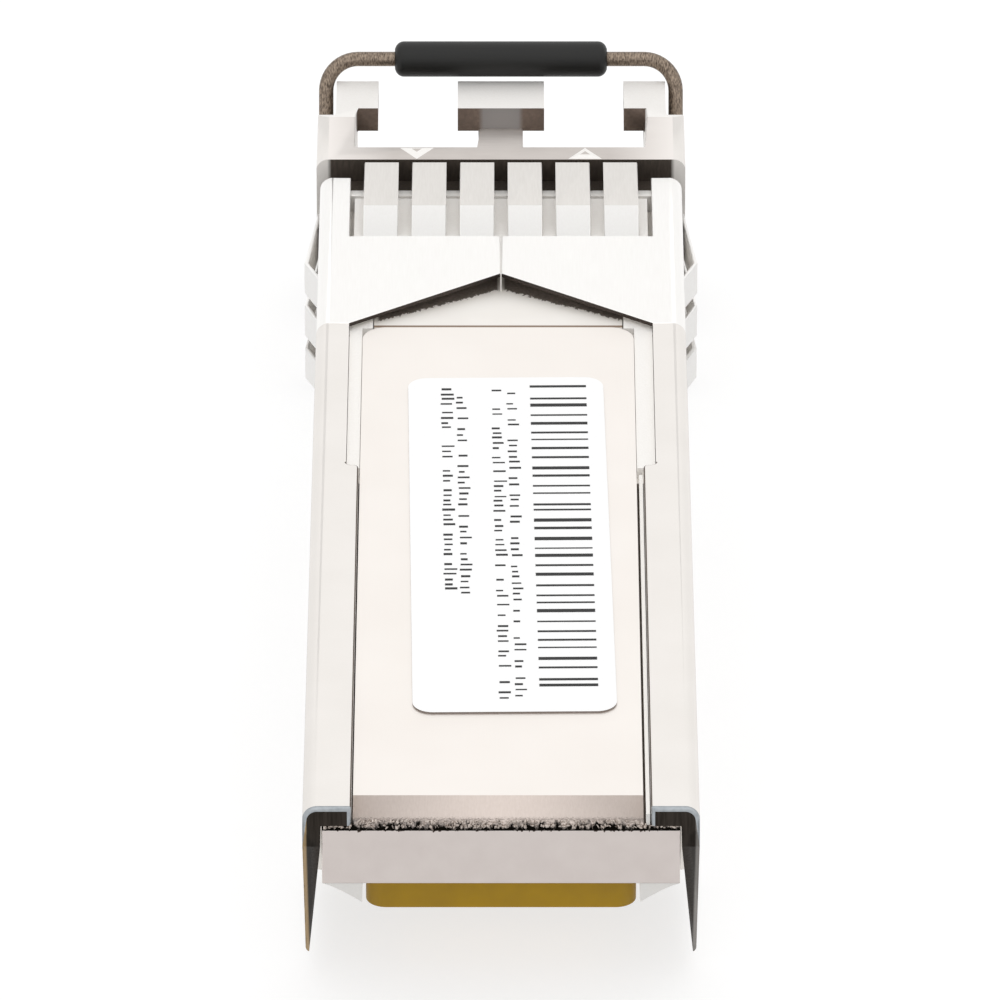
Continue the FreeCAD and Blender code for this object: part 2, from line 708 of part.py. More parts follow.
route = make_sketch(bail, "bail_route", "XY")
half = [("crank_inner", "crank_offset"), ("crank_outer", "crank_offset"),
        ("crank_outer + crank_run", "0"), ("arm_x", "0"), ("arm_x", "arm_length")]
other_half = [("-(%s)" % x, y) for x, y in half]
draw_lines(route, other_half + half[::-1], False)
bends = ["crank_bend", "crank_bend", "hinge_bend", "bar_bend"]
for line, radius in enumerate(bends + bends[::-1]):
    round_corner(route, line, radius)

wire_section = make_sketch(bail, "wire_section", "YZ", "-crank_inner")
draw_circle(wire_section, "crank_offset", "0", "wire_diameter / 2")
pipe = bail.newObject("PartDesign::AdditivePipe", "bail_pipe")
pipe.Profile = wire_section
pipe.Spine = (route, [])

# Grip: plastic tube on the bail's bar
grip = make_body("bail_grip", y="hinge_y", z="hinge_height", axis=ALONG_X, angle="arm_angle")
grip_section = make_sketch(grip, "grip_section", "YZ")
draw_circle(grip_section, "arm_length", "0", "grip_diameter / 2")
draw_circle(grip_section, "arm_length", "0", "wire_diameter / 2 + grip_clearance")
grip_tube = extrude(grip_section, "Pad", "grip_length", middle=True)


def grip_end_edge(edge):
    """Outer circles at the two ends of the grip."""
    outer_circle = edge.BoundBox.ZLength > measure("grip_diameter") - TOUCH
    return outer_circle and edge.BoundBox.XLength < TOUCH


ease_edges(grip_tube, "Chamfer", "grip_ends", "grip_chamfer", grip_end_edge)


# Latch rocker: plate with the ramped boss at the rear, hub on the pivot, heel under the bail's cranks
rocker = make_body("latch_rocker")

rocker_plate = make_sketch(rocker, "rocker_blade", "YZ")
draw_box(rocker_plate, "rocker_rear", "pivot_y", "rocker_lift", "rocker_top")
extrude(rocker_plate, "Pad", "bay_width - 2 * rocker_clearance", middle=True)

hub = make_sketch(rocker, "hub", "YZ")
draw_circle(hub, "pivot_y", "pivot_height", "hub_diameter / 2")
extrude(hub, "Pad", "bay_width - 2 * rocker_clearance", middle=True)

heel = make_sketch(rocker, "heel", "YZ")
draw_box(heel, "pivot_y", "heel_end", "heel_top - heel_thickness", "heel_top")
extrude(heel, "Pad", "heel_width", middle=True)

boss = make_sketch(rocker, "boss", "YZ")
draw_lines(boss, [("boss_rear", "rocker_top"), ("boss_rear", "rocker_lift"),
                  ("boss_front - boss_land", "-boss_drop"), ("boss_front", "-boss_drop"),
                  ("boss_front", "rocker_top")], True)
extrude(boss, "Pad", "boss_width", middle=True)

rocker_bore = make_sketch(rocker, "rocker_bore", "YZ")
draw_circle(rocker_bore, "pivot_y", "pivot_height", "pivot_diameter / 2 + pivot_clearance")
extrude(rocker_bore, "Pocket", "bay_width", middle=True)

# Pivot pin, pressed in from one side of the nose
pin = make_body("latch_pin")
pin_section = make_sketch(pin, "pin_section", "YZ", "-bay_width / 2 - pivot_grip")
draw_circle(pin_section, "pivot_y", "pivot_height", "pivot_diameter / 2")
extrude(pin_section, "Pad", "bay_width / 2 + pivot_grip + nose_width / 2 - rocker_clearance")

# Leaf spring between the bay's ceiling and the rocker's plate
spring = make_body("latch_spring")
leaf = make_sketch(spring, "leaf", "YZ")
foot_level = "rocker_top + spring_gap"
anchor_front = "pivot_y - hub_diameter"
draw_lines(leaf, [(anchor_front, "bay_height"), (anchor_front + " - spring_anchor", "bay_height"),
                  ("boss_rear + spring_foot", foot_level + " + spring_sheet"),
                  ("boss_rear", foot_level + " + spring_sheet"), ("boss_rear", foot_level),
                  ("boss_rear + spring_foot", foot_level),
                  (anchor_front + " - spring_anchor", "bay_height - spring_sheet"),
                  (anchor_front, "bay_height - spring_sheet")], True)
extrude(leaf, "Pad", "spring_width", middle=True)


# Circuit board with its plug tongue at the rear
board = make_body("pcb")
board_outline = make_sketch(board, "board_outline", "XY", "board_bottom")
tongue_end = "board_end + tongue_length"
first_line = draw_lines(board_outline, [("-tongue_width / 2", "board_end"), ("tongue_width / 2", "board_end"),
                                        ("tongue_width / 2", tongue_end), ("board_half", tongue_end),
                                        ("board_half", "board_nose"), ("-board_half", "board_nose"),
                                        ("-board_half", tongue_end), ("-tongue_width / 2", tongue_end)], True)
for line in (0, 7):
    round_corner(board_outline, first_line + line, "tongue_corner")
extrude(board_outline, "Pad", "board_thickness")

for label, level, below in (("edge_contacts_top", "board_top", False),
                            ("edge_contacts_bottom", "board_bottom", True)):
    contacts = make_body(label)
    contact = make_sketch(contacts, label + "_foil", "XY", level)
    contact_x = first_of(CONTACTS, "contact_pitch")
    draw_box(contact, contact_x + " - contact_width / 2", contact_x + " + contact_width / 2",
             "board_end + contact_setback", "board_end + contact_setback + contact_length")
    repeat(extrude(contact, "Pad", "contact_foil", reverse=below), "X", "contact_pitch", CONTACTS)

for label, below in (("driver", False), ("controller", False), ("memory", True)):
    chip = make_body(label + "_chip")
    chip_outline = make_sketch(chip, label + "_outline", "XY", "board_bottom" if below else "board_top")
    chip_middle = "board_nose - %s_behind_end" % label
    draw_box(chip_outline, "-%s_size / 2" % label, "%s_size / 2" % label,
             "%s - %s_size / 2" % (chip_middle, label), "%s + %s_size / 2" % (chip_middle, label))
    extrude(chip_outline, "Pad", label + "_height", reverse=below)

capacitors = make_body("capacitors")
for name, side in (("left", "-"), ("right", "")):
    capacitor = make_sketch(capacitors, name + "_capacitor", "XY", "board_top")
    outer = "(board_half - capacitor_inset)"
    draw_box(capacitor, side + "(%s - capacitor_length)" % outer, side + outer,
             "board_nose - capacitor_behind_end", "board_nose - capacitor_behind_end + capacitor_width")
    repeat(extrude(capacitor, "Pad", "capacitor_width"), "Y", "capacitor_pitch", CAPACITORS)


# Optical sub-assemblies: header can, turned barrel with the receptacle, ceramic sleeve and flex, one per port
for name, side in (("transmitter", "-"), ("receiver", "")):
    axis_x = side + "port_pitch / 2"

    can = make_body(name + "_can", x=axis_x, z="optic_axis")
    base = make_sketch(can, name + "_can_base", "XZ", "can_rear")
    draw_circle(base, "0", "0", "can_base_diameter / 2")
    extrude(base, "Pad", "can_base_thickness", reverse=True)
    cap = make_sketch(can, name + "_can_cap", "XZ", "can_start")
    draw_circle(cap, "0", "0", "can_diameter / 2")
    extrude(cap, "Pad", "can_length", reverse=True)

    barrel = make_body(name + "_barrel", x=axis_x, z="optic_axis")
    barrel_half = make_sketch(barrel, name + "_barrel_half", "XY")
    neck = "neck_diameter / 2"
    large = "barrel_diameter / 2"
    sleeve_seat = "sleeve_diameter / 2 + sleeve_clearance"
    draw_lines(barrel_half, [("0", "barrel_start"), (large, "barrel_start"),
                             (large, "saddle_start - saddle_clearance"),
                             (neck, "saddle_start - saddle_clearance"), (neck, "flange_start"),
                             (large, "flange_start"), (large, "flange_end"),
                             ("receptacle_diameter / 2", "flange_end"),
                             ("receptacle_diameter / 2", "receptacle_end"), (sleeve_seat, "receptacle_end"),
                             (sleeve_seat, "sleeve_start"), ("0", "sleeve_start")], True)
    turned = barrel.newObject("PartDesign::Revolution", name + "_barrel_turned")
    turned.Profile = barrel_half
    turned.ReferenceAxis = (origin_item(barrel, "Y_Axis"), [""])
    turned.Angle = 360

    sleeve = make_body(name + "_sleeve", x=axis_x, z="optic_axis")
    sleeve_ring = make_sketch(sleeve, name + "_sleeve_ring", "XZ", "sleeve_start")
    draw_circle(sleeve_ring, "0", "0", "sleeve_diameter / 2")
    draw_circle(sleeve_ring, "0", "0", "ferrule_bore / 2")
    extrude(sleeve_ring, "Pad", "sleeve_length", reverse=True)

    flex = make_body(name + "_flex", x=axis_x)
    flex_profile = make_sketch(flex, name + "_flex_profile", "YZ")
    flex_back = "can_rear - flex_sheet"
    draw_lines(flex_profile, [("board_nose - flex_landing", "board_top"), ("board_nose", "board_top"),
                              ("can_rear", "board_top + flex_bend"), ("can_rear", "optic_axis + flex_reach"),
                              (flex_back, "optic_axis + flex_reach"),
                              (flex_back, "board_top + flex_bend + flex_sheet"),
                              ("board_nose - flex_sheet", "board_top + flex_sheet"),
                              ("board_nose - flex_landing", "board_top + flex_sheet")], True)
    extrude(flex_profile, "Pad", "flex_width", middle=True)

# Optics clip: bar across the saddle with a leg in each slot that holds a barrel's neck down
clip = make_body("optics_clip")
clip_bar = make_sketch(clip, "clip_bar_section", "XZ", "saddle_start + clip_clearance")
draw_box(clip_bar, "-clip_width / 2", "clip_width / 2", "port_ceiling", "port_ceiling + clip_bar")
extrude(clip_bar, "Pad", "saddle_thickness - 2 * clip_clearance", reverse=True)
clip_legs = make_sketch(clip, "clip_legs", "XZ", "saddle_start + clip_clearance")
clip_seats = make_sketch(clip, "clip_seats", "XZ", "saddle_start")
for side in ("-", ""):
    axis_x = side + "port_pitch / 2"
    leg_half = "(neck_diameter / 2 + saddle_clearance - clip_clearance)"
    draw_box(clip_legs, axis_x + " - " + leg_half, axis_x + " + " + leg_half,
             "optic_axis + clip_leg_gap", "port_ceiling + clip_bar / 2")
    draw_circle(clip_seats, axis_x, "optic_axis", "neck_diameter / 2 + saddle_clearance")
extrude(clip_legs, "Pad", "saddle_thickness - 2 * clip_clearance", reverse=True)
extrude(clip_seats, "Pocket", "saddle_thickness")


# Label stuck on the panel, slightly off the middle and turned a little
label = make_body("label", x="label_offset", y="label_start + label_length / 2", z="panel_top",
                  axis=ALONG_Z, angle="label_turn")
label_outline = make_sketch(label, "label_outline", "XY")
label_lines = draw_box(label_outline, "-label_width / 2", "label_width / 2",
                       "-label_length / 2", "label_length / 2")
for line in range(4):
    round_corner(label_outline, label_lines + line, "label_corner")
extrude(label_outline, "Pad", "label_foil")


# Every feature has to be sound, and every cut has to take material away
doc.recompute()
bodies = [item for item in doc.Objects if item.TypeId == "PartDesign::Body"]
for item in doc.Objects:
    if "Invalid" in item.State or "Error" in item.State:
        raise RuntimeError("%s failed: %s" % (item.Name, item.State))
    if item.TypeId == "PartDesign::Pocket":
        before = item.BaseFeature.Shape.Volume
        if item.Shape.Volume > before - TOUCH:
            raise RuntimeError("%s cuts nothing" % item.Name)
for body in bodies:
    if body.Shape.isNull() or not body.Shape.isValid():
        raise RuntimeError("%s has no sound shape" % body.Label)

os.makedirs("parts", exist_ok=True)
for body in bodies:
    body.Shape.exportStep("parts/%s.step" % body.Label)
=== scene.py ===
import math
import bmesh
import bpy
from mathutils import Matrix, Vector


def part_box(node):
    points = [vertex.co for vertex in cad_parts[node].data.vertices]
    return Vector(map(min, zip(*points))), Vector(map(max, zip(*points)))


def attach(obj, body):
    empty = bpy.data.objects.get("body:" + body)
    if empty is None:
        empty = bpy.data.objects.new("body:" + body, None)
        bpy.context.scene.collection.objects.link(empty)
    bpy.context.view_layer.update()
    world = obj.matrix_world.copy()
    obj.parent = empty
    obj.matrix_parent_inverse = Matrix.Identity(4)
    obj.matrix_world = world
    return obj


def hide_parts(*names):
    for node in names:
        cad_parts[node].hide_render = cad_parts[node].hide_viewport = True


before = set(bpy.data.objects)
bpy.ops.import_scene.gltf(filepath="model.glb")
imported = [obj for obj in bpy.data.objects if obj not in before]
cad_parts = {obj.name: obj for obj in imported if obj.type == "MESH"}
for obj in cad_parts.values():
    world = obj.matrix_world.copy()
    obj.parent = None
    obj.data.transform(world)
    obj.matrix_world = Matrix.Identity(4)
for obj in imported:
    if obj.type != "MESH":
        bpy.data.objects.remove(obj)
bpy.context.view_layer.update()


# Lower housing: the one-piece body with the rails, the collar seat and the nose with two fibre ports.
# Die-cast zinc with satin nickel plating; the trimmed rear ends of its two rails are painted near black as
# the dark reflection they show.
# Every other piece is fixed to it or turns in it.
MM = 0.001
MERGE = 0.0005 * MM
FLAT = math.radians(0.5)
SHARP = math.radians(28)
CREASE = math.radians(50)
ROUND = 0.5
SAME_FINISH = -1
# Range that most of a noise pattern's values lie in
NOISE = (0.3, 0.7)


def linear(hex_colour):
    """Linear colour of an sRGB hex value."""
    channels = [int(hex_colour[start:start + 2], 16) / 255 for start in (0, 2, 4)]
    return [c / 12.92 if c <= 0.04045 else ((c + 0.055) / 1.055) ** 2.4 for c in channels] + [1.0]


def add_node(tree, kind, inputs=None, **settings):
    """Add a node, set its properties, and set or link its inputs."""
    node = tree.nodes.new(kind)
    for name, value in settings.items():
        setattr(node, name, value)
    for key, value in (inputs or {}).items():
        if isinstance(value, bpy.types.NodeSocket):
            tree.links.new(value, node.inputs[key])
        else:
            node.inputs[key].default_value = value
    return node


def calculate(tree, operation, *values):
    """Result of a math node."""
    return add_node(tree, "ShaderNodeMath", dict(enumerate(values)), operation=operation).outputs["Value"]


def coordinate(tree, vector, axis):
    """One coordinate of a vector."""
    return add_node(tree, "ShaderNodeSeparateXYZ", {"Vector": vector}).outputs[axis]


def new_finish(name, metallic, roughness):
    """New material: its tree, its surface shader and the place on the piece in millimetres."""
    finish = bpy.data.materials.new(name)
    finish.use_nodes = True
    tree = finish.node_tree
    shader = tree.nodes["Principled BSDF"]
    shader.inputs["Metallic"].default_value = metallic
    shader.inputs["Roughness"].default_value = roughness
    place = add_node(tree, "ShaderNodeTexCoord").outputs["Object"]
    scaled = add_node(tree, "ShaderNodeVectorMath", {0: place, "Scale": 1 / MM}, operation="SCALE")
    return finish, tree, shader, scaled.outputs["Vector"]


def blend(tree, pattern, low, high):
    """Colour between two colours, each a hex value or a socket, by a pattern."""
    low, high = [linear(colour) if isinstance(colour, str) else colour for colour in (low, high)]
    mix = add_node(tree, "ShaderNodeMix", {"Factor": pattern, "A": low, "B": high}, data_type="RGBA")
    return mix.outputs["Result"]


def vary_colour(tree, shader, pattern, low, high):
    """Base colour between two colours by a pattern."""
    tree.links.new(blend(tree, pattern, low, high), shader.inputs["Base Color"])


def span(tree, value, start, end, low=0.0, high=1.0):
    """Value from low to high while another goes from start to end."""
    ranged = add_node(tree, "ShaderNodeMapRange", {"Value": value, "From Min": start, "From Max": end,
                                                   "To Min": low, "To Max": high})
    return ranged.outputs["Result"]


def vary_roughness(tree, shader, pattern, low, high):
    """Roughness between two values by a pattern."""
    tree.links.new(span(tree, pattern, 0.0, 1.0, low, high), shader.inputs["Roughness"])


def add_relief(tree, shader, pattern, depth):
    """Bump of so many millimetres from a pattern."""
    bump = add_node(tree, "ShaderNodeBump", {"Height": pattern, "Strength": 1.0, "Distance": depth * MM})
    tree.links.new(bump.outputs["Normal"], shader.inputs["Normal"])


def grain(tree, place, size, detail=2.0, stretch=(1, 1, 1)):
    """Cloudy pattern with features of so many millimetres, drawn out along an axis where stretched."""
    if stretch != (1, 1, 1):
        shrink = [1 / value for value in stretch]
        place = add_node(tree, "ShaderNodeVectorMath", {0: place, 1: shrink}, operation="MULTIPLY")
        place = place.outputs["Vector"]
    noise = add_node(tree, "ShaderNodeTexNoise", {"Vector": place, "Scale": 1 / size, "Detail": detail})
    return noise.outputs["Fac"]


def eased_copy(name, node, ease, finishes, pick=None, rims=(), segments=2, shortest=4):
    """Merged copy of a CAD node with its sharp edges eased by so many millimetres.

    The first finish is the main one and pick gives a face's finish. Each of the rims is a finish,
    the finishes it meets there, the finish of the edges between them, their size and a test of their place.
    Edges inside another finish stay sharp, and so do those that are only a few times as long as the ease.
    """
    work = bmesh.new()
    work.from_mesh(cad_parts[node].data)
    bmesh.ops.remove_doubles(work, verts=work.verts, dist=MERGE)
    bmesh.ops.dissolve_limit(work, angle_limit=FLAT, verts=work.verts, edges=work.edges)
    for face in work.faces:
        face.smooth = True
        face.material_index = finishes.index(pick(face)) if pick else 0
    rim_pairs = [{frozenset((finishes.index(finish), finishes.index(other))) for other in others}
                 for finish, others, rim, size, test in rims]
    plain_edges = []
    for edge in work.edges:
        kinds = edge_finishes(edge)
        long_enough = edge.calc_length() > shortest * ease * MM
        on_rim = any(kinds in pairs for pairs in rim_pairs)
        if edge.calc_face_angle(0) > SHARP and long_enough and 0 in kinds and not on_rim:
            plain_edges.append(edge)
    bevel_edges(work, plain_edges, ease, segments, SAME_FINISH)
    for pairs, (finish, others, rim, size, test) in zip(rim_pairs, rims):
        rim_edges = [edge for edge in work.edges
                     if edge_finishes(edge) in pairs and edge.calc_face_angle(0) > SHARP and test(edge)]
        bevel_edges(work, rim_edges, size, segments, finishes.index(rim))
    bmesh.ops.dissolve_degenerate(work, dist=MERGE, edges=work.edges)
    piece = new_piece(name, work, finishes)
    piece.data.set_sharp_from_angle(angle=CREASE)
    weigh = piece.modifiers.new("even shading", "WEIGHTED_NORMAL")
    weigh.keep_sharp = True
    keep_result(piece)
    return piece


def edge_finishes(edge):
    """Numbers of the finishes on both sides of an edge."""
    return frozenset(face.material_index for face in edge.link_faces)


def bevel_edges(work, edges, size, segments, number):
    """Round edges off by so many millimetres, in the finish of that number."""
    bmesh.ops.bevel(work, geom=edges, offset=size * MM, offset_type="OFFSET", segments=segments,
                    profile=ROUND, affect="EDGES", material=number)


def new_piece(name, work, finishes):
    """Object with the mesh that was worked out and its finishes."""
    mesh = bpy.data.meshes.new(name)
    work.to_mesh(mesh)
    work.free()
    for finish in finishes:
        mesh.materials.append(finish)
    piece = bpy.data.objects.new(name, mesh)
    bpy.context.scene.collection.objects.link(piece)
    return piece


def keep_result(piece):
    """Turn what a piece's modifiers make of it into its plain mesh."""
    bpy.context.view_layer.update()
    evaluated = piece.evaluated_get(bpy.context.evaluated_depsgraph_get())
    piece.data = bpy.data.meshes.new_from_object(evaluated)
    piece.modifiers.clear()
    piece.data.name = piece.name


def seat(piece, body, slot, *nodes):
    """Fix a piece to its body and hide the CAD nodes it stands for."""
    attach(piece, body)
    if nodes:
        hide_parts(*nodes)


def from_middle(tree, place):
    """Distance from the piece's middle plane in millimetres."""
    return calculate(tree, "ABSOLUTE", coordinate(tree, place, "X"))


SIDE_TURN = (0.97, 0.995)


def outer_side(tree, place):
    """One on faces that look straight out to a side, zero where they begin to turn away."""
    facing = add_node(tree, "ShaderNodeNewGeometry").outputs["Normal"]
    side = calculate(tree, "SIGN", coordinate(tree, place, "X"))
    outward = calculate(tree, "MULTIPLY", coordinate(tree, facing, "X"), side)
    return span(tree, outward, *SIDE_TURN)


def shaded_scuffs(tree, place, low, high):
    """Colour of plating greyed as painted shade, with lengthwise scuff streaks."""
    streaks = grain(tree, place, 0.12, 3.0, (1, 40, 1))
    return blend(tree, span(tree, streaks, *NOISE), low, high)


# Satin nickel on a fine casting: a soft white metal with faint clouds and a tight, even grain,
# greyer on its outer sides as painted shade, with lengthwise scuff streaks
plated_casting, tree, shader, place = new_finish("satin nickel plated casting", metallic=1.0, roughness=0.45)
clouds = grain(tree, place, 3.0)
fine_grain = grain(tree, place, 0.12, 3.0)
vary_colour(tree, shader, outer_side(tree, place), blend(tree, clouds, "e8e4df", "f0ece8"),
            shaded_scuffs(tree, place, "bbb6b1", "d4cfca"))
vary_roughness(tree, shader, fine_grain, 0.4, 0.52)
add_relief(tree, shader, fine_grain, depth=0.003)

# Trimmed casting: dull zinc with drawn cutter marks, painted near black as the dark reflection of its rear
# ends, with painted highlights on its outer edges, warm on the left and grey on the right
OUTER_EDGE = (6.54, 6.6)
shaded_bare_casting, tree, shader, place = new_finish("trimmed casting with painted dark reflection", metallic=1.0, roughness=0.5)
marks = grain(tree, place, 0.08, 2.0, (1, 1, 12))
across = coordinate(tree, place, "X")
left_edge = span(tree, calculate(tree, "MULTIPLY", across, -1.0), *OUTER_EDGE)
right_edge = span(tree, across, *OUTER_EDGE)
left_edge_highlight = blend(tree, left_edge, blend(tree, marks, "171410", "443e39"), "b69d78")
vary_colour(tree, shader, right_edge, left_edge_highlight, "8b8783")
vary_roughness(tree, shader, marks, 0.38, 0.55)
add_relief(tree, shader, marks, depth=0.01)

# Rim of the trimmed ends: a bluish grey painted highlight along the edge
rim_highlight, tree, shader, place = new_finish("painted highlight on a trimmed edge", metallic=1.0, roughness=0.4)
vary_colour(tree, shader, grain(tree, place, 0.2), "8a9095", "b6babd")

# Bead-blasted plating in the nose and under the collar: an even, matt white
blasted_plating, tree, shader, place = new_finish("bead-blasted plating", metallic=0.2, roughness=0.7)
beads = grain(tree, place, 0.08, 3.0)
vary_colour(tree, shader, beads, "f3f0ec", "fbf9f6")
add_relief(tree, shader, beads, depth=0.004)

# Front and flanks of the nose: greyer than its top as painted shade, faintly clouded
shaded_nose_plating, tree, shader, place = new_finish("satin plating with painted shade", metallic=1.0, roughness=0.42)
vary_colour(tree, shader, grain(tree, place, 0.6, 3.0), "bdb8b2", "d3cec9")
add_relief(tree, shader, grain(tree, place, 0.12, 3.0), depth=0.003)

# Groove behind the nose's top wall: painted nearly black as shade, and plating white again at its rounded
# ends
GROOVE_END = (6.3, 6.45)
shaded_groove, tree, shader, place = new_finish("groove with painted shade", metallic=0.3, roughness=0.6)
groove_shade = blend(tree, grain(tree, place, 0.1, 3.0, (1, 1, 4)), "2a231d", "5a5047")
vary_colour(tree, shader, span(tree, from_middle(tree, place), *GROOVE_END), groove_shade, "efebe6")

# Rear-facing faces in the nose's recesses: dull, painted brown as shade, and greyer over the stem
OVER_STEM = (0.85, 0.65)
shaded_recess, tree, shader, place = new_finish("recess with painted shade", metallic=0.3, roughness=0.6)
recess_shade = blend(tree, grain(tree, place, 0.12, 3.0), "73635a", "958376")
vary_colour(tree, shader, span(tree, from_middle(tree, place), *OVER_STEM), recess_shade, "9d9997")

# Top of the nose: same plating, greyer in the middle as painted shade
BESIDE_SHADE = (4.0, 6.4)
middle_shaded_plating, tree, shader, place = new_finish("satin plating with painted middle shade", metallic=1.0, roughness=0.5)
middle_shade = blend(tree, grain(tree, place, 0.5, 3.0, (3, 1, 1)), "c0b9b4", "d6d0cb")
vary_colour(tree, shader, span(tree, from_middle(tree, place), *BESIDE_SHADE), middle_shade, "efeae6")

# Flanks of the lips and the panel: blasted like the nose, kept apart for the painted shade on their edges
sliding_flank = blasted_plating.copy()
sliding_flank.name = "blasted sliding flank"

# Edges of the flanks: dark grey painted shade along the narrow gaps, streaked lengthwise
gap_shade_edge, tree, shader, place = new_finish("gap edge with painted shade", metallic=1.0, roughness=0.45)
vary_colour(tree, shader, grain(tree, place, 0.1, 2.0, (1, 20, 1)), "4a4039", "6f645b")

TRIM_RIM = 0.14
GAP_SHADE_RIM = 0.05
LIP_STEP = 24.3 * MM
STEP_BEND = 0.3 * MM
LIP_INNER = 5.6 * MM
SKIRT_RUN = 6.0 * MM
GROOVE_RUN = 1.65 * MM
STOP_GAP = 0.2 * MM
STEM_HALF = 0.9 * MM
LIP_DEPTH = 1.0 * MM
LIP_RIM_DROP = 0.3 * MM
LIP_RIM_REACH = 0.6 * MM
FACING = 0.5
SQUARE_ON = 0.9
housing_low, housing_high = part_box("lower_housing")
collar_low, collar_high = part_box("emi_collar")
label_low, label_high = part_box("label")
groove_front = collar_high.y + STOP_GAP
groove_rear = groove_front - GROOVE_RUN


def housing_finish(face):
    """Finish of a face of the housing, by its place and the way it looks."""
    ends = [vertex.co.y for vertex in face.verts]
    reach = max(abs(vertex.co.x) for vertex in face.verts)
    middle = face.calc_center_median()
    rear_facing = face.normal.y < -FACING
    sideways = abs(face.normal.x) > SQUARE_ON
    outward = sideways and face.normal.x * middle.x > 0
    inward = sideways and face.normal.x * middle.x < 0
    in_nose = min(ends) > groove_front + MERGE
    if rear_facing and max(ends) < housing_low.y + SKIRT_RUN:
        return shaded_bare_casting
    if min(ends) > groove_rear - MERGE and max(ends) < groove_front + MERGE:
        return shaded_groove
    if middle.z > housing_high.z - MERGE or in_nose and reach < STEM_HALF:
        return middle_shaded_plating
    if in_nose and (face.normal.y > FACING or outward):
        return shaded_nose_plating
    if in_nose:
        return shaded_recess if rear_facing else blasted_plating
    if min(ends) > collar_low.y - MERGE and max(ends) < groove_rear + MERGE:
        return blasted_plating
    beside_panel = middle.z > label_low.z - LIP_DEPTH and middle.y < collar_low.y
    from_step = abs((min(ends) + max(ends)) / 2 - housing_low.y - LIP_STEP)
    on_step = from_step < STEP_BEND and abs(face.normal.z) < FACING and abs(middle.x) < LIP_INNER
    if beside_panel and (inward or on_step):
        return sliding_flank
    return plated_casting


def on_lip_end(edge):
    """Edge over the top or down the inner side of a lip's trimmed rear end."""
    low, high = sorted(vertex.co.z for vertex in edge.verts)
    return low > label_low.z - LIP_RIM_REACH and high > label_low.z - LIP_RIM_DROP


def along_narrow_gap(edge):
    """Edge of the narrow gap between lip and panel, round the step of the lips."""
    return max(vertex.co.y for vertex in edge.verts) < housing_low.y + LIP_STEP + STEP_BEND


housing_finishes = (plated_casting, shaded_bare_casting, rim_highlight, blasted_plating, shaded_nose_plating,
                    shaded_groove, shaded_recess, middle_shaded_plating, sliding_flank, gap_shade_edge)
housing_rims = ((shaded_bare_casting, (plated_casting, sliding_flank), rim_highlight, TRIM_RIM, on_lip_end),
                (sliding_flank, (plated_casting,), gap_shade_edge, GAP_SHADE_RIM, along_narrow_gap))
housing = eased_copy("housing_casting", "lower_housing", ease=0.06, finishes=housing_finishes,
                     pick=housing_finish, rims=housing_rims)
seat(housing, "housing", "plated_casting", "lower_housing")


def add_prism(work, start_ring, end_ring):
    """Closed solid between two rings of as many points: its face over the end ring."""
    starts, ends = [[work.verts.new(point) for point in ring] for ring in (start_ring, end_ring)]
    faces = [work.faces.new(ends), work.faces.new(starts)]
    for one, start in enumerate(starts):
        before = one - 1
        faces.append(work.faces.new((starts[before], start, ends[one], ends[before])))
    bmesh.ops.recalc_face_normals(work, faces=faces)
    return faces[0]


# Two raised direction marks on the nose's top wall, over the ports: one points forward and one back
MARK_RISE = 0.08 * MM
MARK_WIDTH = 1.25 * MM
MARK_TOP = 0.3
WALL_RUN = 1.0 * MM
MARK_MARGIN = 0.05 * MM
PORT_PITCH = 6.25 * MM
wall_ends = (groove_front + MARK_MARGIN, groove_front + WALL_RUN - MARK_MARGIN)
work = bmesh.new()
for side, base, tip in ((1, wall_ends[0], wall_ends[1]), (-1, wall_ends[1], wall_ends[0])):
    middle = side * PORT_PITCH / 2
    corners = [Vector((x, y, housing_high.z)) for x, y in
               ((middle - MARK_WIDTH / 2, base), (middle + MARK_WIDTH / 2, base), (middle, tip))]
    centre = sum(corners, Vector()) / len(corners)
    crown = [centre.lerp(corner, MARK_TOP) + Vector((0, 0, MARK_RISE)) for corner in corners]
    add_prism(work, corners, crown).material_index = 1
seat(new_piece("direction_marks", work, (blasted_plating, middle_shaded_plating)), "housing", "plated_casting")


# Circuit board: glass-fibre laminate with a plug tongue at the rear that carries gold contacts on both sides.
# The chips and capacitors are soldered to it; it lies on two ledges in the housing.
WAVE_PITCH = math.tau / 20


def waves(tree, place, pitch, distortion, direction="X"):
    """Bands that repeat at a pitch in millimetres."""
    bands = add_node(tree, "ShaderNodeTexWave",
                     {"Vector": place, "Scale": WAVE_PITCH / pitch, "Distortion": distortion},
                     bands_direction=direction)
    return bands.outputs["Fac"]


# Solder resist over glass cloth: yellow-brown, slightly glossy, with the weave showing through
board_laminate, tree, shader, place = new_finish("solder-resist coated laminate", metallic=0.0,
                                                 roughness=0.42)
clouds = grain(tree, place, 1.2)
vary_colour(tree, shader, clouds, "b48c0e", "d2a614")
vary_roughness(tree, shader, clouds, 0.34, 0.5)
add_relief(tree, shader, waves(tree, place, 0.3927, 1.0), depth=0.003)


def dress(finish, *nodes):
    """Give CAD nodes that stay as they are a finish."""
    for node in nodes:
        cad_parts[node].data.materials.clear()
        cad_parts[node].data.materials.append(finish)


dress(board_laminate, "pcb")

# Hard gold over nickel: warm, smooth, with faint wipe marks along the plug direction
contact_gold, tree, shader, place = new_finish("hard gold plating", metallic=1.0, roughness=0.2)
wipes = grain(tree, place, 0.05, 2.0, (1, 20, 1))
vary_colour(tree, shader, wipes, "d9a441", "f0c46a")
vary_roughness(tree, shader, wipes, 0.14, 0.3)
dress(contact_gold, "edge_contacts_top", "edge_contacts_bottom")

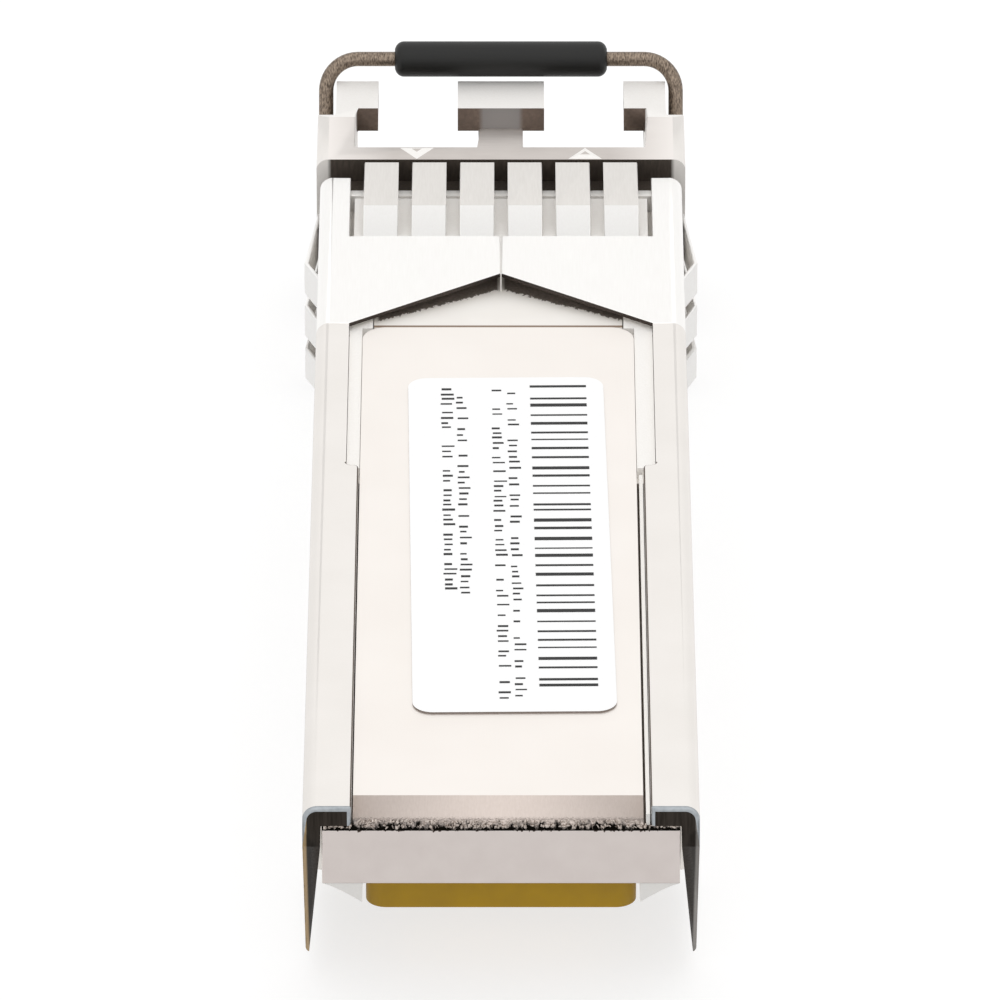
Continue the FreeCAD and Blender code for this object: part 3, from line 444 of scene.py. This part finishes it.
# Moulded epoxy of the chips: charcoal, matt, with a fine filler grain
chip_plastic, tree, shader, place = new_finish("moulded epoxy", metallic=0.0, roughness=0.6)
filler = grain(tree, place, 0.06, 3.0)
vary_colour(tree, shader, filler, "1d1d1e", "2b2b2c")
add_relief(tree, shader, filler, depth=0.004)
dress(chip_plastic, "driver_chip", "controller_chip", "memory_chip")

# Fired ceramic of the capacitors: tan, lightly mottled
capacitor_ceramic, tree, shader, place = new_finish("fired capacitor ceramic", metallic=0.0, roughness=0.45)
vary_colour(tree, shader, grain(tree, place, 0.2), "8a6a4a", "b08c66")
dress(capacitor_ceramic, "capacitors")


# Optics: a gold-plated header can, a turned steel barrel with a ceramic split sleeve, and a flex.
# One set for each port, held down in the housing's saddle by a plastic clip.
# Gold flash on a drawn can: warm and soft, with faint draw lines along the axis
can_gold, tree, shader, place = new_finish("gold flashed can", metallic=1.0, roughness=0.28)
draw_lines = grain(tree, place, 0.06, 2.0, (1, 15, 1))
vary_colour(tree, shader, draw_lines, "c9a35a", "e4c27c")
dress(can_gold, "transmitter_can", "receiver_can")

# Turned stainless steel: bright grey with fine rings round the axis
barrel_steel, tree, shader, place = new_finish("turned stainless steel", metallic=1.0, roughness=0.25)
rings = waves(tree, place, 0.1571, 0.4, "Y")
vary_colour(tree, shader, rings, "b4b2af", "cfcdca")
add_relief(tree, shader, rings, depth=0.002)
dress(barrel_steel, "transmitter_barrel", "receiver_barrel")

# Zirconia: dense white ceramic, ground smooth
sleeve_ceramic, tree, shader, place = new_finish("ground zirconia", metallic=0.0, roughness=0.22)
vary_colour(tree, shader, grain(tree, place, 0.5), "ece8e0", "f7f4ee")
dress(sleeve_ceramic, "transmitter_sleeve", "receiver_sleeve")

# Polyimide flex: amber film with copper lines under it
flex_film, tree, shader, place = new_finish("polyimide flex film", metallic=0.0, roughness=0.3)
vary_colour(tree, shader, waves(tree, place, 0.6981, 0.0), "8a4b12", "c98234")
dress(flex_film, "transmitter_flex", "receiver_flex")

# Moulded black nylon of the clip
clip_plastic, tree, shader, place = new_finish("moulded nylon", metallic=0.0, roughness=0.5)
vary_colour(tree, shader, grain(tree, place, 0.3), "202122", "303132")
dress(clip_plastic, "optics_clip")


# Top cover: the plate under the housing's lips, with the raised label panel and the rear end wall.
# Die-cast zinc, satin plated and a little warmer than the housing; it slides in from the rear.
# Fine satin plating: pale warm metal with long faint brush lines
plated_cover, tree, shader, place = new_finish("brushed satin plating", metallic=1.0, roughness=0.4)
brush = grain(tree, place, 0.1, 2.0, (1, 30, 1))
vary_colour(tree, shader, grain(tree, place, 4.0), "f1ebe5", "f8f3ee")
vary_roughness(tree, shader, brush, 0.34, 0.46)
add_relief(tree, shader, brush, depth=0.002)

# Ramp and plate: matt plating, with a ragged painted shadow where the collar covers it, a painted shadow line
# along the ramp's foot and painted brown shade in the gaps beside the panel
COLLAR_V_APEX = 10.5
COLLAR_V_SLOPE = 0.709
SHADE_BLUR = 0.1
SHADOW_RAG = 0.14
SHADOW_RUN = 1.6
RAMP_HALF = 4.5
RIB_HALF = 0.06
GAP_INNER = 4.72
GAP_FRONT = -4.31
RAMP_FOOT = 6.86
FOOT_LINE = 0.14
matt_ramp, tree, shader, place = new_finish("matt plating with painted shadows", metallic=0.15, roughness=0.65)
along = coordinate(tree, place, "Y")
across = from_middle(tree, place)
ragged = span(tree, grain(tree, place, 0.12, 4.0, (1, 2, 1)), *NOISE, -SHADOW_RAG, SHADOW_RAG)
past_v = calculate(tree, "ADD", calculate(tree, "MULTIPLY_ADD", across, COLLAR_V_SLOPE, along), ragged)
ahead = span(tree, past_v, COLLAR_V_APEX, COLLAR_V_APEX + SHADE_BLUR)
behind = span(tree, past_v, COLLAR_V_APEX + SHADOW_RUN, COLLAR_V_APEX + SHADOW_RUN - SHADE_BLUR)
on_ramp = span(tree, across, RAMP_HALF, RAMP_HALF - SHADE_BLUR)
beside_rib = span(tree, across, RIB_HALF, RIB_HALF + SHADE_BLUR)
in_band = calculate(tree, "MULTIPLY", ahead, behind)
in_half = calculate(tree, "MULTIPLY", on_ramp, beside_rib)
collar_shadow = calculate(tree, "MULTIPLY", in_band, in_half)
near_foot = calculate(tree, "ABSOLUTE", calculate(tree, "SUBTRACT", along, RAMP_FOOT))
foot_line = span(tree, near_foot, FOOT_LINE, FOOT_LINE / 2)
plating = blend(tree, grain(tree, place, 1.5), "f3eee8", "faf7f2")
foot_shadow_plating = blend(tree, foot_line, plating, "8d7866")
shadow_grain = blend(tree, grain(tree, place, 0.1, 3.0), "443c36", "8d8279")
shadowed_plating = blend(tree, collar_shadow, foot_shadow_plating, shadow_grain)
in_gap = span(tree, across, GAP_INNER, GAP_INNER + SHADE_BLUR / 2)
behind_step = span(tree, along, GAP_FRONT, GAP_FRONT - SHADE_BLUR)
gap_shade = calculate(tree, "MULTIPLY", in_gap, behind_step)
vary_colour(tree, shader, gap_shade, shadowed_plating, "4a3e37")

# Rear strip of the panel, sloping: pinkish grey, darker than the panel as painted shade of the slope, with
# fine lines down it and a ragged painted shadow at its foot
TEAR_LINE = -28.86
TEAR_REACH = 0.7
TEAR_BLUR = 0.12
shaded_strip, tree, shader, place = new_finish("sloping strip with painted shade", metallic=0.2, roughness=0.55)
lines = grain(tree, place, 0.05, 2.0, (1, 15, 1))
ground = blend(tree, lines, "d3c5bc", "e2d5cd")
tear = grain(tree, place, 0.07, 3.0, (1, 0.2, 1))
torn_back = calculate(tree, "MULTIPLY_ADD", tear, -TEAR_REACH, coordinate(tree, place, "Y"))
vary_colour(tree, shader, span(tree, torn_back, TEAR_LINE, TEAR_LINE + TEAR_BLUR), "8d817a", ground)
add_relief(tree, shader, lines, depth=0.003)

# The end wall's face: same metal, greyer as painted shade of the rear-facing face and duller, with a ragged
# painted shadow along its upper edge
WALL_DROP = 0.63
WALL_TOP = label_low.z / MM - WALL_DROP
TOP_SHADOW_REACH = 0.08
TOP_SHADOW_BLUR = 0.02
shaded_end_face, tree, shader, place = new_finish("end face with painted shade", metallic=1.0, roughness=0.46)
height = coordinate(tree, place, "Z")
shadow_rag = span(tree, grain(tree, place, 0.14, 3.0, (1, 1, 1.5)), *NOISE, -TOP_SHADOW_REACH, TOP_SHADOW_REACH)
wall_top_shadow = span(tree, calculate(tree, "ADD", height, shadow_rag), WALL_TOP, WALL_TOP + TOP_SHADOW_BLUR)
cast_grain = blend(tree, grain(tree, place, 0.8, 4.0), "c8bfbb", "d2cac6")
vary_colour(tree, shader, wall_top_shadow, cast_grain, "4f453f")
add_relief(tree, shader, grain(tree, place, 0.1, 3.0), depth=0.004)

# Sheared edge over the end wall: torn metal, painted nearly black in its pits at the foot as the shadow of
# the gap there, and lighter towards its head
TORN_HEIGHT = 0.36
TORN_RISE = (0.0, 0.36)
TORN_RANGE = (0.58, 0.82)
shadowed_torn_edge, tree, shader, place = new_finish("torn sheared edge with painted shadow", metallic=1.0, roughness=0.5)
rise = span(tree, coordinate(tree, place, "Z"), WALL_TOP, WALL_TOP + TORN_HEIGHT, *TORN_RISE)
pits = grain(tree, place, 0.14, 4.0, (1, 1, 2))
torn_shadow = span(tree, calculate(tree, "ADD", pits, rise), *TORN_RANGE)
vary_colour(tree, shader, torn_shadow, "12100d", "d3c7bf")
add_relief(tree, shader, torn_shadow, depth=0.03)

SHEAR_STEP = 0.12 * MM
STRIP_RUN = 1.3 * MM
STRIP_LEAN = -0.1
cover_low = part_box("top_cover")[0]
panel_top = label_low.z


def cover_finish(face):
    """Finish of a face of the cover, by its place and the way it looks."""
    ends = [vertex.co.y for vertex in face.verts]
    heights = [vertex.co.z for vertex in face.verts]
    upward = face.normal.z > SQUARE_ON
    if max(ends) < cover_low.y + MERGE:
        return shaded_end_face
    if max(ends) < cover_low.y + SHEAR_STEP + MERGE:
        return shadowed_torn_edge
    if upward and face.normal.y < STRIP_LEAN and max(ends) < cover_low.y + STRIP_RUN + MERGE:
        return shaded_strip
    if abs(face.normal.x) > SQUARE_ON and min(heights) > panel_top - LIP_DEPTH:
        return sliding_flank
    if upward and max(heights) < panel_top - MERGE:
        return matt_ramp
    return plated_cover


cover_finishes = (plated_cover, shaded_end_face, shadowed_torn_edge, shaded_strip, matt_ramp, sliding_flank, gap_shade_edge)
cover_rims = ((sliding_flank, (plated_cover,), gap_shade_edge, GAP_SHADE_RIM, along_narrow_gap),)
cover = eased_copy("cover_plate", "top_cover", ease=0.05, finishes=cover_finishes,
                   pick=cover_finish, rims=cover_rims)
seat(cover, "housing", "plated_cover", "top_cover")

# Lands of the cover: shoulders beside the panel's front half, a bed under the collar's fingers, and two ribs,
# one in the collar's seam and one in the wider gap beside the panel
LAND_FOOT = panel_top - 0.5 * MM
SHOULDER_TOP = panel_top - 0.07 * MM
BED_TOP = panel_top + 0.05 * MM
RIB_TOP = panel_top + 0.2 * MM


def rectangle(left, right, rear, front):
    """Outline of a rectangle."""
    return (left, rear), (right, rear), (right, front), (left, front)


# Each land's outline, in millimetres from the middle and from the cover's rear end, and its top
LEFT_SHOULDER = ((-5.48, 24.6), (-5.02, 24.6), (-5.02, 35.24), (-4.64, 35.24), (-4.64, 36.3), (-5.48, 36.3))
RIGHT_SHOULDER = ((4.82, 24.6), (5.48, 24.6), (5.48, 36.3), (4.44, 36.3), (4.44, 35.24), (4.82, 35.24))
LANDS = (
    (LEFT_SHOULDER, SHOULDER_TOP),
    (RIGHT_SHOULDER, SHOULDER_TOP),
    (rectangle(-5.4, 5.4, 40.4, 45.3), BED_TOP),
    (rectangle(-0.02, 0.02, 38.95, 41.85), RIB_TOP),
    (rectangle(4.89, 5.02, 0.16, 24.1), SHOULDER_TOP),
)
work = bmesh.new()
for outline, top in LANDS:
    foot, head = [[(x * MM, cover_low.y + y * MM, z) for x, y in outline] for z in (LAND_FOOT, top)]
    add_prism(work, foot, head)
seat(new_piece("cover_lands", work, (blasted_plating,)), "housing", "plated_cover")

# Wings under the end wall, carried on from the cover's own pair to just short of the wall's face
WING_ENDS = (6.05 * MM, 4.7 * MM)
WING_RUN = (0.04 * MM, 0.45 * MM)
WING_DROP = 0.74 * MM
WALL_FOOT = 0.7 * MM
WING_STEPS = 6
WING_BEND = 1.25
work = bmesh.new()
for side in (-1, 1):
    outline = [(side * WING_ENDS[1], cover_low.z + WALL_FOOT), (side * WING_ENDS[0], cover_low.z + WALL_FOOT)]
    for step in range(1, WING_STEPS + 1):
        share = step / WING_STEPS
        across = WING_ENDS[0] + (WING_ENDS[1] - WING_ENDS[0]) * share
        outline.append((side * across, cover_low.z + WALL_FOOT - WING_DROP * share ** WING_BEND))
    rear, front = [[(x, cover_low.y + y, z) for x, z in outline] for y in WING_RUN]
    add_prism(work, rear, front)
seat(new_piece("end_wall_wings", work, (blasted_plating,)), "housing", "plated_cover")

# Torn crests of the sheared edge: light grey crumbs of metal
torn_crest, tree, shader, place = new_finish("torn metal crest", metallic=1.0, roughness=0.5)
vary_colour(tree, shader, grain(tree, place, 0.1, 3.0), "9a8f86", "dcd2ca")


def draw_value(tree, given, stream, low, high, kind="FLOAT"):
    """Random value for each point, from a stream of its own."""
    seed = calculate(tree, "ADD", given["Seed"], stream)
    return add_node(tree, "FunctionNodeRandomValue", {"Min": low, "Max": high, "Seed": seed},
                    data_type=kind).outputs["Value"]


def new_group(name, sockets):
    """Geometry node group with named inputs: the group and its inputs."""
    tree = bpy.data.node_groups.new(name, "GeometryNodeTree")
    tree.interface.new_socket("Geometry", in_out="OUTPUT", socket_type="NodeSocketGeometry")
    for socket, kind in sockets:
        tree.interface.new_socket(socket, in_out="INPUT", socket_type="NodeSocket" + kind)
    return tree, add_node(tree, "NodeGroupInput").outputs


def end_group(tree, instances, finish):
    """Make the instances one mesh, give it its finish and hand it out."""
    whole = add_node(tree, "GeometryNodeRealizeInstances", {"Geometry": instances})
    dressed = add_node(tree, "GeometryNodeSetMaterial",
                       {"Geometry": whole.outputs["Geometry"], "Material": finish})
    add_node(tree, "NodeGroupOutput", {"Geometry": dressed.outputs["Geometry"]})


def grown_piece(name, tree, values):
    """Plain mesh that a geometry node group makes from its values."""
    piece = bpy.data.objects.new(name, bpy.data.meshes.new(name))
    bpy.context.scene.collection.objects.link(piece)
    modifier = piece.modifiers.new("grown", "NODES")
    modifier.node_group = tree
    for socket in tree.interface.items_tree:
        if socket.in_out == "INPUT":
            modifier[socket.identifier] = values[socket.name]
    keep_result(piece)
    return piece


def crumb_tree():
    """Crumbs of random place, turn and size between two corners."""
    tree, given = new_group("torn crumbs", (("Count", "Int"), ("Low", "Vector"), ("High", "Vector"),
                                            ("Smallest", "Vector"), ("Largest", "Vector"), ("Seed", "Int"),
                                            ("Finish", "Material")))
    points = add_node(tree, "GeometryNodeMeshLine", {"Count": given["Count"], "Offset": (0, 0, 0)})
    where = draw_value(tree, given, 1, given["Low"], given["High"], "FLOAT_VECTOR")
    spread = add_node(tree, "GeometryNodeSetPosition", {"Geometry": points.outputs["Mesh"], "Offset": where})
    crumb = add_node(tree, "GeometryNodeMeshIcoSphere", {"Radius": 1.0, "Subdivisions": 1})
    turn = draw_value(tree, given, 2, (0, 0, 0), (math.tau, math.tau, math.tau), "FLOAT_VECTOR")
    size = draw_value(tree, given, 3, given["Smallest"], given["Largest"], "FLOAT_VECTOR")
    crumbs = add_node(tree, "GeometryNodeInstanceOnPoints",
                      {"Points": spread.outputs["Geometry"], "Instance": crumb.outputs["Mesh"],
                       "Rotation": turn, "Scale": size})
    end_group(tree, crumbs.outputs["Instances"], given["Finish"])
    return tree


crumbs = crumb_tree()
CRUMB_SMALLEST = Vector((0.02, 0.02, 0.02)) * MM
CRUMB_LARGEST = Vector((0.11, 0.06, 0.11)) * MM
END_WALL_HALF = 5.95 * MM
SHEAR_FOOT = panel_top - 0.58 * MM
SHEAR_HEAD = panel_top - 0.47 * MM
STRIP_REAR = (panel_top - 0.38 * MM, panel_top - 0.3 * MM)
PANEL_SIDES = (-4.9 * MM, 4.7 * MM)
crumb_depth = (cover_low.y + max(CRUMB_LARGEST), cover_low.y + SHEAR_STEP)
for name, count, sides, heights, seed in (
        ("torn_crumbs_low", 190, (-END_WALL_HALF, END_WALL_HALF), (SHEAR_FOOT, SHEAR_HEAD), 5),
        ("torn_crumbs_high", 140, PANEL_SIDES, STRIP_REAR, 9)):
    low, high = [Vector(corner) for corner in zip(sides, crumb_depth, heights)]
    piece = grown_piece(name, crumbs, {"Count": count, "Low": low, "High": high, "Smallest": CRUMB_SMALLEST,
                                       "Largest": CRUMB_LARGEST, "Seed": seed, "Finish": torn_crest})
    seat(piece, "housing", "plated_cover")


# Shielding collar: thin spring sheet wrapped round the housing, with rows of bent fingers.
# Stamped from nickel-plated copper alloy, its two ends meeting in a seam on top.
# Bright rolled sheet: nearly white with fine rolling lines, greyer as painted shade on its outer sides behind
# the side fingers, with lengthwise scuff streaks
FINGER_RUN = 5.6
SIDE_SHADE_BLUR = 0.8
finger_root = groove_front / MM - FINGER_RUN
spring_sheet, tree, shader, place = new_finish("nickel plated spring sheet", metallic=1.0, roughness=0.35)
rolling = grain(tree, place, 0.05, 2.0, (1, 25, 1))
on_band = span(tree, coordinate(tree, place, "Y"), finger_root, finger_root - SIDE_SHADE_BLUR)
side_shade = calculate(tree, "MULTIPLY", outer_side(tree, place), on_band)
vary_colour(tree, shader, side_shade, blend(tree, rolling, "f5f3f0", "fcfbf9"),
            shaded_scuffs(tree, place, "c4c1bd", "dedcd9"))
vary_roughness(tree, shader, rolling, 0.3, 0.42)

# Stamped edge along the V: painted dark as the shadow under the collar's edge
shadowed_v_edge, tree, shader, place = new_finish("V edge with painted shadow", metallic=1.0, roughness=0.5)
vary_colour(tree, shader, grain(tree, place, 0.06, 3.0), "2b2623", "625953")

# Sliding face of the fingers: grey as painted shade, with fine lengthwise streaks
shaded_finger_slope, tree, shader, place = new_finish("finger slope with painted shade", metallic=1.0, roughness=0.4)
finger_streaks = grain(tree, place, 0.06, 2.0, (1, 20, 1))
vary_colour(tree, shader, finger_streaks, "dad6d1", "e8e5e1")
vary_roughness(tree, shader, finger_streaks, 0.34, 0.46)

TOP_SHEET = 1.2 * MM
REAR_CUT = 4.0 * MM
FINGER_LEAN = 0.03


def collar_finish(face):
    """Finish of a face of the collar, by its place and the way it looks."""
    middle = face.calc_center_median()
    on_top = middle.z > collar_high.z - TOP_SHEET
    if on_top and face.normal.y < -FACING and middle.y < collar_low.y + REAR_CUT:
        return shadowed_v_edge
    if on_top and face.normal.y > FINGER_LEAN and face.normal.z > SQUARE_ON:
        return shaded_finger_slope
    outward = Vector((middle.x, 0, middle.z - (collar_low.z + collar_high.z) / 2))
    return spring_sheet if face.normal.dot(outward) > 0 else blasted_plating


collar_finishes = (spring_sheet, shadowed_v_edge, shaded_finger_slope, blasted_plating)
collar = eased_copy("shielding_collar", "emi_collar", ease=0.03, finishes=collar_finishes, pick=collar_finish)
seat(collar, "housing", "spring_sheet", "emi_collar")


# Latch: a rocker with a ramped boss under the nose, on a pressed-in pin, pushed down by a leaf spring.
# The rocker is sintered stainless steel, the pin and the spring are ground steel.
# Sintered steel: mid grey, dull, with a fine pitted skin
latch_metal, tree, shader, place = new_finish("sintered stainless steel", metallic=1.0, roughness=0.4)
pits = grain(tree, place, 0.1, 3.0)
vary_colour(tree, shader, pits, "aaa6a1", "c6c3be")
add_relief(tree, shader, pits, depth=0.006)
rocker = eased_copy("latch_boss_rocker", "latch_rocker", ease=0.05, finishes=(latch_metal,))
seat(rocker, "latch", "latch_metal", "latch_rocker")

# Ground steel of the pin and the leaf spring: smooth bright grey with fine lines along X
pin_steel, tree, shader, place = new_finish("ground steel", metallic=1.0, roughness=0.22)
vary_colour(tree, shader, grain(tree, place, 0.05, 2.0, (20, 1, 1)), "b0aeab", "cbc9c6")
dress(pin_steel, "latch_pin", "latch_spring")


# Bail: one bent wire that hinges in the nose, with a soft tube on its bar as a grip.
# Spring steel wire, drawn and bent cold; the tube is pushed on before the last bend.
# Drawn wire: brownish steel with fine ripples from the die
steel_wire, tree, shader, place = new_finish("drawn spring wire", metallic=1.0, roughness=0.3)
ripple = span(tree, grain(tree, place, 0.045, 3.0, (1, 3, 3)), *NOISE)
vary_colour(tree, shader, ripple, "4f453d", "a59585")
vary_roughness(tree, shader, ripple, 0.3, 0.45)
add_relief(tree, shader, ripple, depth=0.012)
wire = eased_copy("bail_wire_bent", "bail_wire", ease=0.04, finishes=(steel_wire,))
seat(wire, "bail", "steel_wire", "bail_wire")

# Extruded black tube: soft sheen and faint lines along its length
grip_plastic, tree, shader, place = new_finish("extruded soft plastic", metallic=0.0, roughness=0.5)
streaks = grain(tree, place, 0.08, 2.0, (20, 1, 1))
vary_colour(tree, shader, streaks, "191918", "232322")
vary_roughness(tree, shader, streaks, 0.4, 0.55)
add_relief(tree, shader, streaks, depth=0.004)
shader.inputs["Specular IOR Level"].default_value = 0.3
grip = eased_copy("bail_grip_tube", "bail_grip", ease=0.12, finishes=(grip_plastic,), segments=3, shortest=0)
seat(grip, "bail", "grip_plastic", "bail_grip")


# Label: white film on the panel, turned a little, with a column of bars and two double columns of ticks.
# Coated polyester, printed black and stuck on by hand.
# Coated film: clean white with a faint, fine paper-like tooth, and brownish grey on its cut edges
label_film, tree, shader, place = new_finish("coated polyester film", metallic=0.0, roughness=0.45)
tooth = grain(tree, place, 0.1, 2.0)
facing = add_node(tree, "ShaderNodeNewGeometry").outputs["True Normal"]
on_top = span(tree, coordinate(tree, facing, "Z"), FACING, SQUARE_ON)
vary_colour(tree, shader, on_top, "7a6f68", blend(tree, tooth, "fdfdfd", "ffffff"))
dress(label_film, "label")

# Thermal print: near black, slightly uneven
print_black, tree, shader, place = new_finish("thermal print", metallic=0.0, roughness=0.6)
vary_colour(tree, shader, grain(tree, place, 0.15, 3.0), "070707", "161515")

PRINT_RISE = 0.008 * MM
LABEL_TURN = math.radians(0.75)
label_middle = (label_low + label_high) / 2


def stroke_tree():
    """Row of printed strokes that run from a base line, one per pitch, of random length and thickness."""
    tree, given = new_group("printed strokes", (
        ("Count", "Int"), ("Pitch", "Float"), ("Jitter", "Float"), ("Shift", "Float"), ("Shortest", "Float"),
        ("Longest", "Float"), ("Thinnest", "Float"), ("Thickest", "Float"), ("Share", "Float"),
        ("Seed", "Int"), ("Start", "Vector"), ("Turn", "Vector"), ("Finish", "Material")))
    step = add_node(tree, "ShaderNodeCombineXYZ", {"Y": given["Pitch"]})
    row = add_node(tree, "GeometryNodeMeshLine", {"Count": given["Count"], "Offset": step.outputs["Vector"]})
    reach = add_node(tree, "ShaderNodeCombineXYZ", {"X": given["Shift"], "Y": given["Jitter"]})
    drift = draw_value(tree, given, 1, (0, 0, 0), reach.outputs["Vector"], "FLOAT_VECTOR")
    spread = add_node(tree, "GeometryNodeSetPosition", {"Geometry": row.outputs["Mesh"], "Offset": drift})
    block = add_node(tree, "GeometryNodeMeshCube", {"Size": (1, 1, 1)})
    based = add_node(tree, "GeometryNodeTransform",
                     {"Geometry": block.outputs["Mesh"], "Translation": (0.5, 0, 0)})
    length = draw_value(tree, given, 2, given["Shortest"], given["Longest"])
    width = draw_value(tree, given, 3, given["Thinnest"], given["Thickest"])
    chance = draw_value(tree, given, 4, 0.0, 1.0)
    shown = add_node(tree, "FunctionNodeCompare", {"A": chance, "B": given["Share"]}, operation="LESS_THAN")
    size = add_node(tree, "ShaderNodeCombineXYZ", {"X": length, "Y": width, "Z": 2 * PRINT_RISE})
    strokes = add_node(tree, "GeometryNodeInstanceOnPoints",
                       {"Points": spread.outputs["Geometry"], "Selection": shown.outputs["Result"],
                        "Instance": based.outputs["Geometry"], "Scale": size.outputs["Vector"]})
    placed = add_node(tree, "GeometryNodeTransform",
                      {"Geometry": strokes.outputs["Instances"], "Translation": given["Start"],
                       "Rotation": given["Turn"]})
    end_group(tree, placed.outputs["Geometry"], given["Finish"])
    return tree


def on_label(across, along):
    """Point of the label's top, in millimetres from its middle, in its own turned axes."""
    x = across * math.cos(LABEL_TURN) - along * math.sin(LABEL_TURN)
    y = across * math.sin(LABEL_TURN) + along * math.cos(LABEL_TURN)
    return Vector((label_middle.x + x * MM, label_middle.y + y * MM, label_high.z))


strokes = stroke_tree()


def print_column(name, base, ends, pitch, jitter, shift, lengths, thicknesses, share, seed):
    """One column of strokes as a plain mesh on the label, all sizes in millimetres."""
    values = {"Count": int((ends[1] - ends[0]) / pitch) + 1, "Pitch": pitch * MM, "Jitter": jitter * MM,
              "Shift": shift * MM, "Shortest": lengths[0] * MM, "Longest": lengths[1] * MM,
              "Thinnest": thicknesses[0] * MM, "Thickest": thicknesses[1] * MM, "Share": share, "Seed": seed,
              "Start": on_label(base, ends[0]), "Turn": (0.0, 0.0, LABEL_TURN), "Finish": print_black}
    seat(grown_piece(name, strokes, values), "housing", "label_film")


print_column("label_bars", base=0.86, ends=(-10.6, 11.4), pitch=0.66, jitter=0.3, shift=0.0,
             lengths=(2.02, 2.02), thicknesses=(0.07, 0.24), share=1.0, seed=3)
print_column("label_ticks_long_left", base=-0.56, ends=(-11.2, 11.4), pitch=0.36, jitter=0.1, shift=0.06,
             lengths=(0.22, 0.46), thicknesses=(0.08, 0.14), share=0.72, seed=20)
print_column("label_ticks_long_right", base=0.0, ends=(-11.1, 11.3), pitch=0.4, jitter=0.1, shift=0.06,
             lengths=(0.2, 0.42), thicknesses=(0.08, 0.14), share=0.72, seed=40)
print_column("label_ticks_short_left", base=-2.36, ends=(-3.9, 11.4), pitch=0.36, jitter=0.1, shift=0.06,
             lengths=(0.22, 0.46), thicknesses=(0.09, 0.15), share=0.76, seed=60)
print_column("label_ticks_short_right", base=-1.8, ends=(-3.8, 11.3), pitch=0.4, jitter=0.1, shift=0.06,
             lengths=(0.2, 0.42), thicknesses=(0.09, 0.15), share=0.76, seed=80)


# Floor, light and camera: a pale table in soft daylight, seen from behind and above with a long lens.
# The floor is matt white board, lifted to full white for the eye so that only the soft shadow shows.
FLOOR_HALF = 2.0
FLOOR_LIFT = 0.73
DAYLIGHT = 0.8
LIGHT_WHITE = (1.0, 1.0, 1.0, 1.0)


def seen_rays(tree):
    """One for what the eye sees, straight or in a reflection, and zero for light on its way."""
    path = add_node(tree, "ShaderNodeLightPath").outputs
    reflected = calculate(tree, "MAXIMUM", path["Is Camera Ray"], path["Is Glossy Ray"])
    return calculate(tree, "MAXIMUM", reflected, path["Is Transmission Ray"])


floor_corners = [(-FLOOR_HALF, -FLOOR_HALF, 0), (FLOOR_HALF, -FLOOR_HALF, 0),
                 (FLOOR_HALF, FLOOR_HALF, 0), (-FLOOR_HALF, FLOOR_HALF, 0)]
floor_mesh = bpy.data.meshes.new("floor")
floor_mesh.from_pydata(floor_corners, [], [(0, 1, 2, 3)])
floor = bpy.data.objects.new("floor", floor_mesh)
bpy.context.scene.collection.objects.link(floor)
floor_board, tree, shader, place = new_finish("matt white board", metallic=0.0, roughness=1.0)
vary_colour(tree, shader, grain(tree, place, 2.0), "9a9a9a", "9c9c9c")
shader.inputs["Specular IOR Level"].default_value = 0.0
shader.inputs["Emission Color"].default_value = LIGHT_WHITE
tree.links.new(span(tree, seen_rays(tree), 0.0, 1.0, 0.0, FLOOR_LIFT), shader.inputs["Emission Strength"])
floor_mesh.materials.append(floor_board)

world = bpy.data.worlds.new("studio")
world.use_nodes = True
bpy.context.scene.world = world
tree = world.node_tree
sky = tree.nodes["Background"]
sky.inputs["Color"].default_value = LIGHT_WHITE
tree.links.new(span(tree, seen_rays(tree), 0.0, 1.0, DAYLIGHT, 1.0), sky.inputs["Strength"])

# Place in metres, size in metres and watts of each soft box
LAMPS = (
    ("key_box", (-0.15, -0.38, 0.5), 0.8, 0.7),
    ("fill_box", (0.35, -0.1, 0.5), 0.8, 0.4),
    ("top_box", (0.0, 0.14, 0.6), 0.8, 0.4),
)
for name, spot, size, watts in LAMPS:
    lamp = bpy.data.lights.new(name, "AREA")
    lamp.size = size
    lamp.energy = watts
    box = bpy.data.objects.new(name, lamp)
    box.location = spot
    box.rotation_euler = (-Vector(spot)).to_track_quat("-Z", "Y").to_euler()
    bpy.context.scene.collection.objects.link(box)

AIM = Vector((-0.035, -6.95, 8.95)) * MM
CAMERA_SPOT = Vector((-0.035, -379.9, 212.35)) * MM
LENS = 434
NEAR_CLIP = 10 * MM
camera_data = bpy.data.cameras.new("camera")
camera_data.lens = LENS
camera_data.clip_start = NEAR_CLIP
camera = bpy.data.objects.new("camera", camera_data)
camera.location = CAMERA_SPOT
camera.rotation_euler = (AIM - CAMERA_SPOT).to_track_quat("-Z", "Y").to_euler()
bpy.context.scene.collection.objects.link(camera)
bpy.context.scene.camera = camera
bpy.context.scene.view_settings.view_transform = "Standard"
